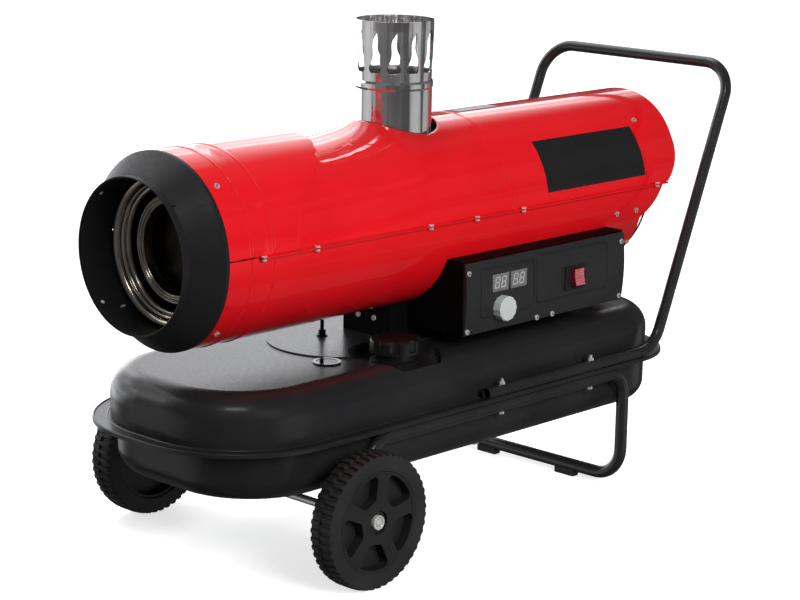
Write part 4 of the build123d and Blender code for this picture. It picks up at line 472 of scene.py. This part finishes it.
def upper_shell():
    """Upper casing in front of the hood, with the hole for the flue."""
    columns, rows_behind = 128, 96
    front = [CASING_FRONT, CASING_FRONT + 0.6, -500.0, -490.0, -480.0]
    for bead in BEADS:
        front += [bead + step for step in (-4.5, -3.0, -2.0, -1.2, -0.6, 0.0, 0.6, 1.2, 2.0, 3.0, 4.5)]
    front += [-458.0, -454.0, -450.0, -446.0, -442.0, -438.0, -434.0, -415.0, -405.0, GRID_START]
    front.sort()
    start = math.asin((SEAM_Z - AXIS[1]) / CASING_R)
    rows = []
    for column in range(columns + 1):
        turn = start + (math.pi - 2 * start) * column / columns
        edge = crease_x(CASING_R * math.cos(turn))
        places = list(front)
        places += [GRID_START + (edge - 4.0 - GRID_START) * k / 12 for k in range(1, 13)]
        places += [edge + step for step in (-2.4, -1.7, -1.0, -0.4, 0.2, 0.8, 1.6, 2.6, 4.0)]
        behind = SHELL_END - edge - 4.0
        places += [edge + 4.0 + behind * k / rows_behind for k in range(1, rows_behind + 1)]
        row = []
        for x in places:
            radius = shell_radius(x, turn, edge)
            height = radius * math.sin(turn)
            if column in (0, columns):
                height += SEAM_SLOT * (1 - smooth(x, SLOT_END, SLOT_END + 5.0))
            row.append([x, -radius * math.cos(turn), AXIS[1] + height])
        for x, drop in ((SHELL_END + 0.05, 0.6), (SHELL_END + 0.1, 1.6), (SHELL_END + 17.0, 1.6)):
            radius = CASING_R - drop
            row.append([x, -radius * math.cos(turn), AXIS[1] + radius * math.sin(turn)])
        rows.append(row)
    hx, hr = FLUE_HOLE
    points, faces = grid(rows)
    kept = []
    for face in faces:
        x = sum(points[i][0] for i in face) / 4
        y = sum(points[i][1] for i in face) / 4
        z = sum(points[i][2] for i in face) / 4
        if z < HOLE_FLOOR or math.hypot(x - hx, y) > hr:
            kept.append(face)
    used = {}
    for face in kept:
        for i in face:
            used[i] = used.get(i, 0) + 1
    for i, times in used.items():
        x, y, z = points[i]
        reach = math.hypot(x - hx, y)
        if z > HOLE_FLOOR and times < 4 and reach < hr + 7.0:
            points[i][0] = hx + (x - hx) * hr / reach
            points[i][1] = y * hr / reach
            turn = math.acos(-points[i][1] / CASING_R)
            radius = shell_radius(points[i][0], turn, crease_x(points[i][1]))
            points[i][2] = AXIS[1] + math.sqrt(radius ** 2 - points[i][1] ** 2)
    order = {old: new for new, old in enumerate(sorted(used))}
    return [tuple(points[i]) for i in sorted(used)], [tuple(order[i] for i in face) for face in kept]


def flange_shape(x0, x1, side):
    """Upper strip of the seam, with a rolled outer edge and a slanted front end."""
    root = 139.6
    section = [(root, 480.55), (149.3, 480.55), (149.8, 480.75), (150.0, 481.2), (149.8, 481.6),
               (149.3, 481.75), (146.0, 481.7), (142.4, 481.75), (141.0, 482.6), (root, 484.0)]
    rows = []
    for x, share in ((x0, 0.25), (x0 + 12.0, 1.0), (x1, 1.0)):
        rows.append([(x, side * (root + (y - root) * share), z) for y, z in section])
    points, faces = grid(rows, True)
    last = len(points)
    count = len(section)
    faces += [tuple(range(count)), tuple(range(last - count, last))]
    return points, faces


PLATE_LIFT, PLATE_THICK = 0.05, 0.35


def curved_plate(x0, x1, first, last):
    """Thin plate laid on the round casing between two angles above its middle, in degrees."""
    low, high = math.radians(first), math.radians(last)
    chamfer, tilt = 0.15, 0.0012
    xs = [x0, x0 + chamfer] + [x0 + (x1 - x0) * k / 12 for k in range(1, 12)] + [x1 - chamfer, x1]
    turns = [low, low + tilt] + [low + (high - low) * k / 24 for k in range(1, 24)] + [high - tilt, high]
    rows = []
    for i, turn in enumerate(turns):
        row = []
        for j, x in enumerate(xs):
            border = i in (0, len(turns) - 1) or j in (0, len(xs) - 1)
            radius = CASING_R + PLATE_LIFT + (0.0 if border else PLATE_THICK)
            row.append((x, -radius * math.cos(turn), AXIS[1] + radius * math.sin(turn)))
        rows.append(row)
    return grid(rows)


shell = piece("upper_shell", upper_shell(), FINISH["red"], stands_for=("front_shell",),
              crease=28.0, outward=False)
skin = shell.modifiers.new("sheet", "SOLIDIFY")
skin.thickness = SHEET
skin.offset = -1.0
for side, label in ((-1, "near"), (1, "far")):
    piece(label + "_seam_edge", flange_shape(-455.0, SHELL_END, side), FINISH["red"])
piece("hood_side_plate", curved_plate(162.0, 408.0, 9.0, 44.0), FINISH["plate"])
piece("hood_top_plate", curved_plate(96.0, 186.0, 86.5, 101.0), FINISH["plate_grey"])


# ---- outlet
RIVET_ANGLES = (46.0, 134.0, 226.0, 314.0)
RIVET_X, RIVET_R, RIVET_RISE = -553.0, 3.1, 1.3
LINER_R = 108.1
TAB_PLACE = (-88.0, 65.0)
TAB_HALF = 0.9


def outlet_pieces():
    jacket = [(-489.6, 88.2)]
    for step in range(41):
        share = step / 40
        x, r = -490.0 - 19.2 * share, 87.6 + 16.9 * share
        swell = 1.9 * abs(math.sin(math.pi * min(share / 0.30, 1.0)))
        if share > 0.30:
            swell = 1.1 * math.sin(math.pi * min((share - 0.30) / 0.22, 1.0))
        if share > 0.52:
            swell = 2.4 * math.sin(math.pi * (share - 0.52) / 0.48)
        jacket.append((x - swell * 0.66, r - swell * 0.75))
    jacket += [(-508.0, 105.4), (-500.0, 105.6), (-489.6, 89.4)]
    piece("jacket_ring", turned(jacket, AXIS, "x", 144), FINISH["ring"], crease=60.0)
    chamber = [(-470.0, 80.3), (-481.5, 80.4), (-486.2, 79.2), (-487.6, 77.4), (-487.0, 75.6),
               (-485.6, 74.8), (-486.4, 73.6), (-488.2, 72.4), (-488.9, 70.9), (-488.2, 69.4),
               (-486.2, 68.7), (-486.4, 67.8), (-487.4, 66.8), (-487.0, 65.5), (-484.6, 64.9),
               (-478.0, 64.8), (-476.5, 64.2), (-475.0, 63.9), (-473.5, 64.2), (-472.0, 64.9),
               (-470.0, 65.0)]
    piece("chamber_ring", turned(chamber, AXIS, "x", 144), FINISH["ring"], crease=60.0)
    domes = []
    for angle in RIVET_ANGLES:
        turn = math.radians(angle)
        out = (math.cos(turn), math.sin(turn))
        rows = []
        for ring in range(7):
            lean = math.pi / 2 * ring / 6
            reach = RIVET_R * math.cos(lean)
            radius = LINER_R - RIVET_RISE * math.sin(lean)
            row = []
            for step in range(16):
                spin = 2 * math.pi * step / 16
                across = reach * math.sin(spin)
                row.append((RIVET_X + reach * math.cos(spin), out[0] * radius - out[1] * across,
                            AXIS[1] + out[1] * radius + out[0] * across))
            rows.append(row)
        domes.append(grid(rows, True))
    piece("liner_rivets", joined(domes), FINISH["bright"])
    turn = math.atan2(*TAB_PLACE)
    tab = []
    for x in (-529.0, -522.0):
        for radius in (109.3, 105.6):
            for across in (-TAB_HALF, TAB_HALF):
                tab.append((x, math.cos(turn) * radius - math.sin(turn) * across,
                            AXIS[1] + math.sin(turn) * radius + math.cos(turn) * across))
    piece("liner_tab", (tab, box_shape(0, 1, 0, 1, 0, 1)[1]), FINISH["bright"])


outlet_pieces()


# ---- wheels
AXLE = (-331.0, 100.0)          # x and z
WHEEL_IN = 219.2                # inner face of a wheel
LUGS, LUG_DEPTH = 48, 3.4


def tyre_shape(side):
    """Solid tyre with two staggered rows of lugs."""
    phases = ((0.0, 0, 1), (0.07, 1, 0), (0.28, 1, 0), (0.50, 1, 0), (0.57, 0, 1), (0.78, 0, 1))
    rows = []
    for lug in range(LUGS):
        for phase, outer, inner in phases:
            turn = 2 * math.pi * (lug + phase) / LUGS
            a, b = LUG_DEPTH * (1 - outer), LUG_DEPTH * (1 - inner)
            section = [(74.2, 39.0), (75.2, 40.0), (77.0, 40.0), (77.4, 39.75), (78.0, 39.75),
                       (78.4, 40.0), (93.4, 40.0), (95.6 - a * 0.1, 39.7), (98.2 - a * 0.45, 38.8),
                       (99.2 - a, 35.5), (100.0 - a, 30.0), (100.0 - a, 22.4), (97.0 - a * 0.3, 21.4),
                       (97.0 - b * 0.3, 18.6), (100.0 - b, 17.6), (100.0 - b, 10.0), (99.2 - b, 4.0),
                       (98.4 - b, 1.4), (95.6 - b * 0.1, 0.3), (93.4, 0.0), (75.2, 0.0), (74.2, 1.0)]
            row = []
            for radius, depth in section:
                row.append((AXLE[0] + radius * math.cos(turn), side * (WHEEL_IN + depth),
                            AXLE[1] + radius * math.sin(turn)))
            rows.append(row)
    rows.append(rows[0])
    return grid(rows, True)


def push_cap_shape(side):
    """Pressed cap on the end of the axle, with a rolled rim."""
    profile = [(253.4, 0.02), (253.4, 10.7), (258.3, 10.7), (259.3, 10.3), (259.7, 9.4), (259.4, 8.4),
               (258.2, 7.6), (257.0, 7.0), (256.8, 5.9), (257.6, 5.0), (258.6, 4.4), (259.1, 3.2),
               (259.3, 0.02)]
    return turned([(side * along, radius) for along, radius in profile], AXLE, "y", 40)


for side, label in ((1, "left"), (-1, "right")):
    piece(label + "_tread", tyre_shape(side), FINISH["tyre"], label + "_wheel",
          (label + "_tyre",), 24.0)
piece("axle_caps", joined([push_cap_shape(-1), push_cap_shape(1)]), FINISH["bright"],
      stands_for=("push_caps",), crease=60.0)


# ---- control panel
PANEL_EDGE_Y, PANEL_BOW, PANEL_Z, PANEL_HALF = -166.0, 4.5, 364.0, 57.0
DISPLAY_PLACES = (20.2, 62.0)
DISPLAY_Z, DISPLAY_HALF = 380.5, (19.0, 13.5)
DIGIT_PLACES = (-7.4, 7.4)
DIGIT_Z, DIGIT_HALF = 380.9, (4.4, 7.9)
SEGMENT_HALF, DOT_HALF = 1.05, 0.8
DIGIT_SLANT = math.tan(math.radians(10.0))


def panel_y(z):
    """Front of the bowed panel at a height."""
    return PANEL_EDGE_Y - PANEL_BOW * (1 - ((z - PANEL_Z) / PANEL_HALF) ** 2)


def rib(path, width, height):
    """Rounded rib that follows a closed path over the bowed panel, from (x, z) points."""
    rows = []
    count = len(path)
    for i in range(count + 1):
        x, z = path[i % count]
        ax, az = path[(i - 1) % count]
        bx, bz = path[(i + 1) % count]
        length = math.hypot(bx - ax, bz - az)
        nx, nz = -(bz - az) / length, (bx - ax) / length
        row = []
        for across, up in ((-0.5, -0.4), (-0.42, 0.25), (-0.25, 0.8), (0.0, 1.0), (0.25, 0.8),
                           (0.42, 0.25), (0.5, -0.4)):
            px, pz = x + nx * across * width, z + nz * across * width
            row.append((px, panel_y(pz) - up * height, pz))
        rows.append(row)
    return grid(rows, True)


def round_loop(x0, x1, z0, z1, corner):
    """Rounded rectangle as points about 4 mm apart."""
    path = []
    for cx, cz, first in ((x1 - corner, z1 - corner, 0), (x0 + corner, z1 - corner, 90),
                          (x0 + corner, z0 + corner, 180), (x1 - corner, z0 + corner, 270)):
        for step in range(5):
            turn = math.radians(first + step * 22.5)
            path.append((cx + corner * math.cos(turn), cz + corner * math.sin(turn)))
    full = []
    for (ax, az), (bx, bz) in zip(path, path[1:] + path[:1]):
        parts = max(1, int(math.hypot(bx - ax, bz - az) / 4.0))
        full += [(ax + (bx - ax) * k / parts, az + (bz - az) * k / parts) for k in range(parts)]
    return full


def display_body(middle, face):
    """Case of one display, with a shallow window."""
    rows = []
    for inset, depth in ((0.0, 13.0), (0.0, 0.4), (0.4, 0.0), (1.6, 0.0), (1.9, 0.5)):
        w, h, y = DISPLAY_HALF[0] - inset, DISPLAY_HALF[1] - inset, face + depth
        rows.append([(middle - w, y, DISPLAY_Z - h), (middle + w, y, DISPLAY_Z - h),
                     (middle + w, y, DISPLAY_Z + h), (middle - w, y, DISPLAY_Z + h)])
    points, faces = grid(rows, True)
    return points, faces + [(0, 1, 2, 3), (16, 17, 18, 19)]


def digit_marks(cx, face):
    """Seven bars and a dot of one digit."""
    marks = []
    (w, h), t = DIGIT_HALF, SEGMENT_HALF
    front, back = face + 0.25, face + 0.7
    bars = [((-w, h), (w, h)), ((-w, 0), (w, 0)), ((-w, -h), (w, -h)), ((-w, h), (-w, 0)),
            ((-w, 0), (-w, -h)), ((w, h), (w, 0)), ((w, 0), (w, -h))]
    sides = [(i, (i + 1) % 6, 6 + (i + 1) % 6, 6 + i) for i in range(6)]
    for (ax, az), (bx, bz) in bars:
        length = math.hypot(bx - ax, bz - az)
        ux, uz = (bx - ax) / length, (bz - az) / length
        outline = []
        for along, across in ((0.35, 0), (1.3, t), (length - 1.3, t), (length - 0.35, 0),
                              (length - 1.3, -t), (1.3, -t)):
            px, pz = ax + ux * along - uz * across, az + uz * along + ux * across
            outline.append((cx + px + pz * DIGIT_SLANT, DIGIT_Z + pz))
        points = [(x, y, z) for y in (front, back) for x, z in outline]
        marks.append((points, [tuple(range(6)), tuple(range(6, 12))] + sides))
    dot, foot = cx + w + 1.9 - h * DIGIT_SLANT, DIGIT_Z - h
    marks.append(box_shape(dot - DOT_HALF, dot + DOT_HALF, front, back, foot - DOT_HALF, foot + DOT_HALF))
    return marks


def panel_pieces():
    ribs = [rib(round_loop(-24.0, 99.0, 331.0, 405.0, 7.0), 3.6, 1.1),
            rib(round_loop(106.0, 278.0, 335.0, 409.0, 7.0), 3.8, 1.3)]
    piece("panel_ribs", joined(ribs), FINISH["panel"], crease=70.0)
    face = panel_y(DISPLAY_Z) + 0.5
    bodies, marks = [], []
    for middle in DISPLAY_PLACES:
        bodies.append(display_body(middle, face))
        for digit in DIGIT_PLACES:
            marks += digit_marks(middle + digit, face)
    piece("display_modules", joined(bodies), FINISH["display"], stands_for=("displays",))
    piece("display_segments", joined(marks), FINISH["segment"])


panel_pieces()


def crosses(name, places):
    """Dark crosses that paint the shade in screw recesses, from (top of the head, direction) pairs."""
    long_half, short_half = 2.5, 0.55
    plates = []
    for place, way in places:
        way = Vector(way).normalized()
        side = way.orthogonal().normalized()
        other = way.cross(side)
        turn = math.radians(25.0 + 40.0 * (len(plates) % 5))
        first = side * math.cos(turn) + other * math.sin(turn)
        second = way.cross(first)
        for long, short in ((first, second), (second, first)):
            points = []
            for height in (-0.3, 0.12):
                for a, b in ((-1, -1), (1, -1), (1, 1), (-1, 1)):
                    point = Vector(place) + long * (a * long_half) + short * (b * short_half) + way * height
                    points.append(tuple(point))
            plates.append((points, PRISM))
    piece(name, joined(plates), FINISH["recess"])


PANEL_SCREWS = ((-53, 404), (-53, 314), (312, 404), (312, 315), (109, 311), (146, 311))     # x and z
SEAM_BOLTS = (-450.0, -348.0, -114.0, -12.0, 95.0, 431.0)
SEAM_BOLT_Y, SEAM_BOLT_TOP = 146.6, 484.1
CASING_SCREWS = ((-493.0, 133.3, 144.3), (-493.0, 226.7, 144.3), (429.0, 132.0, 143.4),
                 (389.0, 194.0, 143.4), (339.0, 194.0, 143.4))      # x, bearing and radius


def screw_marks():
    """Painted shade in the recesses of the heads of all screws that show."""
    places = [((x, panel_y(z) - 2.9, z), (0, -1, 0)) for x, z in PANEL_SCREWS]
    for x in SEAM_BOLTS:
        for side in (-1, 1):
            places.append(((x, side * SEAM_BOLT_Y, SEAM_BOLT_TOP), (0, 0, 1)))
    for x, angle, radius in CASING_SCREWS:
        for bearing in (angle, 180.0 - angle):
            turn = math.radians(bearing)
            way = (0, math.cos(turn), math.sin(turn))
            places.append(((x, radius * way[1], AXIS[1] + radius * way[2]), way))
    crosses("screw_recesses", places)


screw_marks()


# ---- tank
RIM_FRONT, RIM_REAR, RIM_HALF_WIDTH = -561.7, 471.7, 204.6
RIM_FRONT_R, RIM_REAR_R = 175.7, 133.8
RIM_TOP = 212.5


def rim_loop(inset):
    """Outline of the tank's rim in plan, set in from its edge."""
    half = RIM_HALF_WIDTH - inset
    front, front_x = RIM_FRONT_R - inset, RIM_FRONT + RIM_FRONT_R
    rear, rear_x = RIM_REAR_R - inset, RIM_REAR - RIM_REAR_R
    path = []
    for cx, sy, radius, first in ((rear_x, 1, rear, 0), (front_x, 1, front, 90), (front_x, -1, front, 180),
                                  (rear_x, -1, rear, 270)):
        for step in range(25):
            turn = math.radians(first + step * 3.75)
            path.append((cx + radius * math.cos(turn), sy * (half - radius) + radius * math.sin(turn)))
    return path


def rim_bead(inset, width, height):
    """Rounded bead that follows the rim."""
    rows = []
    loops = []
    for across, up in ((0.0, -0.3), (0.12, 0.45), (0.35, 0.9), (0.5, 1.0), (0.65, 0.9), (0.88, 0.45),
                       (1.0, -0.3)):
        loops.append([(x, y, RIM_TOP + up * height) for x, y in rim_loop(inset + across * width)])
    for i in range(len(loops[0])):
        rows.append([loop[i] for loop in loops])
    rows.append(rows[0])
    return grid(rows, True)


piece("rim_beads", joined([rim_bead(0.4, 3.2, 1.5), rim_bead(20.0, 3.4, 1.3)]), FINISH["black"],
      crease=70.0)

GAUGE = (-260.0, -79.0)
DIAL_LOW, DIAL_TOP, DIAL_R = 272.1, 272.6, 14.7
TICK_IN, TICK_OUT, TICK_HALF = 10.0, 13.4, 0.5


def gauge_pieces():
    """Dial with its plain marks under the lens."""
    x, y = GAUGE
    dial = [(DIAL_LOW, 0.02), (DIAL_LOW, DIAL_R), (DIAL_TOP, DIAL_R), (DIAL_TOP, 0.02)]
    piece("gauge_dial", turned(dial, GAUGE, "z", 40), FINISH["plate"])
    ticks = []
    for step in range(5):
        turn = math.radians(45.0 + step * 22.5)
        points = []
        for z in (DIAL_TOP, DIAL_TOP + 0.2):
            for reach, across in ((TICK_IN, -TICK_HALF), (TICK_OUT, -TICK_HALF), (TICK_OUT, TICK_HALF),
                                  (TICK_IN, TICK_HALF)):
                points.append((x + reach * math.cos(turn) - across * math.sin(turn),
                               y + reach * math.sin(turn) + across * math.cos(turn), z))
        ticks.append((points, PRISM))
    piece("gauge_ticks", joined(ticks), FINISH["segment"])


gauge_pieces()


# ---- floor and light, in metres
FLOOR_HALF = 14.0
SCREEN_R, SCREEN_HIGH, SCREEN_PEAK, SCREEN_SIDES = 13.5, 12.0, 14.0, 64
WHITE = (1.0, 1.0, 1.0, 1)
SKY_COLOUR = (0.97, 0.98, 1.0, 1)
SKY_WAY, SKY_EDGE, SKY_FULL = (0.15, 0.85, 0.50), 0.64, 0.80
SKY_DIM, SKY_BRIGHT = 0.11, 2.6
# stretch of the noise, lowest and highest factor, and softness of its edge
SKY_CLOUDS = (((2.6, 2.6, 0.4), 0.55, 1.35, 0.12), ((0.5, 0.5, 8.0), 0.55, 1.20, 0.04))
# direction, cosine at the edge, and strength of the side glows
SKY_GLOWS = (((-0.757, 0.613, -0.2256), 0.88, 0.50), ((0.34, -0.913, -0.2256), 0.90, 0.42),
             ((0.93, -0.29, -0.2256), 0.96, 0.35))
# name, place, aim, width, height, watts, and whether it shows only in reflections
LAMPS = (("key", (-0.8, -3.0, 1.6), (0, 0, 0.4), 1.6, 1.4, 105, False),
         ("top", (0.3, 0.9, 2.8), (0, 0, 0.4), 3.0, 1.6, 24, False),
         ("gleam", (-2.1, -1.5, 3.1), (-0.4, 0, 0.4), 1.2, 0.5, 14, True))


def stage_piece(name, points, faces, material, unseen):
    """Object of the studio, hidden from the kinds of ray in unseen."""
    mesh = bpy.data.meshes.new(name)
    mesh.from_pydata(points, [], faces)
    mesh.materials.append(material)
    obj = bpy.data.objects.new(name, mesh)
    for kind in unseen:
        setattr(obj, "visible_" + kind, False)
    bpy.context.scene.collection.objects.link(obj)


def place_stage():
    """Pale floor and backdrop, and a dark board that only reflections show."""
    s = Surface("floor", Metallic=0.0, Emission_Strength=0.67, Specular_IOR_Level=0.2)
    s.shader.inputs["Emission Color"].default_value = WHITE
    s.colour(s.mix(s.ramp(s.noise(3.0), 0.0, 1.0), (0.92, 0.92, 0.93, 1), (0.89, 0.89, 0.90, 1)))
    s.gloss(s.ramp(s.noise(40.0), 0.6, 0.7))
    half = FLOOR_HALF
    corners = [(-half, -half, 0), (half, -half, 0), (half, half, 0), (-half, half, 0)]
    stage_piece("floor", corners, [(0, 1, 2, 3)], s.material, ("glossy", "diffuse"))

    pale = Surface("backdrop", Metallic=0.0, Emission_Strength=1.1)
    pale.shader.inputs["Emission Color"].default_value = WHITE
    cloud = pale.ramp(pale.noise(0.5), 0.0, 1.0)
    pale.colour(pale.mix(cloud, (0.90, 0.90, 0.90, 1), (0.88, 0.88, 0.88, 1)))
    turns = [2 * math.pi * k / SCREEN_SIDES for k in range(SCREEN_SIDES)]
    rows = []
    for height in (-0.01, SCREEN_HIGH):
        rows.append([(SCREEN_R * math.cos(turn), SCREEN_R * math.sin(turn), height) for turn in turns])
    points, faces = grid(rows, True)
    for k in range(SCREEN_SIDES):
        faces.append((SCREEN_SIDES + k, SCREEN_SIDES + (k + 1) % SCREEN_SIDES, len(points)))
    points.append((0.0, 0.0, SCREEN_PEAK))
    stage_piece("backdrop", points, faces, pale.material, ("diffuse", "glossy", "transmission", "shadow"))

    board = [(1.30, 1.2, 0.32), (3.2, 1.2, 0.32), (3.2, 1.2, 1.15), (1.30, 1.2, 1.15)]
    stage_piece("flag", board, [(0, 1, 2, 3)], FINISH["rubber"], ("camera", "diffuse", "shadow"))


def place_sky():
    """Soft white light from behind and above, with faint clouds and glows at the sides."""
    world = bpy.data.worlds.new("studio")
    bpy.context.scene.world = world
    world.use_nodes = True
    tree = world.node_tree
    background = tree.nodes["Background"]
    background.inputs["Color"].default_value = SKY_COLOUR
    way = tree.nodes.new("ShaderNodeTexCoord").outputs["Generated"]

    def facing(direction):
        node = tree.nodes.new("ShaderNodeVectorMath")
        node.operation = "DOT_PRODUCT"
        node.inputs[1].default_value = direction
        tree.links.new(way, node.inputs[0])
        return node.outputs["Value"]

    def spread(source, start, end, low, high):
        node = tree.nodes.new("ShaderNodeMapRange")
        for key, value in (("From Min", start), ("From Max", end), ("To Min", low), ("To Max", high)):
            node.inputs[key].default_value = value
        tree.links.new(source, node.inputs["Value"])
        return node

    def combined(operation, first, second):
        node = tree.nodes.new("ShaderNodeMath")
        node.operation = operation
        tree.links.new(first, node.inputs[0])
        tree.links.new(second, node.inputs[1])
        return node.outputs[0]

    sky = spread(facing(SKY_WAY), SKY_EDGE, SKY_FULL, SKY_DIM, SKY_BRIGHT)
    sky.interpolation_type = "SMOOTHSTEP"
    strength = sky.outputs[0]
    for scale, low, high, soft in SKY_CLOUDS:
        mapping = tree.nodes.new("ShaderNodeMapping")
        mapping.inputs["Scale"].default_value = scale
        tree.links.new(way, mapping.inputs["Vector"])
        noise = tree.nodes.new("ShaderNodeTexNoise")
        noise.inputs["Scale"].default_value = 1.0
        noise.inputs["Detail"].default_value = 1.0
        tree.links.new(mapping.outputs[0], noise.inputs["Vector"])
        cloud = spread(noise.outputs["Fac"], 0.5 - soft, 0.5 + soft, low, high)
        strength = combined("MULTIPLY", strength, cloud.outputs[0])
    for direction, edge, power in SKY_GLOWS:
        glow = spread(facing(direction), edge, edge + (1 - edge) * 0.7, 0.0, power)
        strength = combined("ADD", strength, glow.outputs[0])
    tree.links.new(strength, background.inputs["Strength"])


def place_lamps():
    for name, place, aim, width, height, watts, mirrored in LAMPS:
        data = bpy.data.lights.new(name, "AREA")
        data.shape = "RECTANGLE"
        data.size = width
        data.size_y = height
        data.energy = watts
        lamp = bpy.data.objects.new(name, data)
        lamp.location = place
        lamp.visible_glossy = mirrored
        lamp.visible_diffuse = not mirrored
        lamp.rotation_euler = (Vector(aim) - Vector(place)).to_track_quat("-Z", "Y").to_euler()
        bpy.context.scene.collection.objects.link(lamp)


place_stage()
place_sky()
place_lamps()
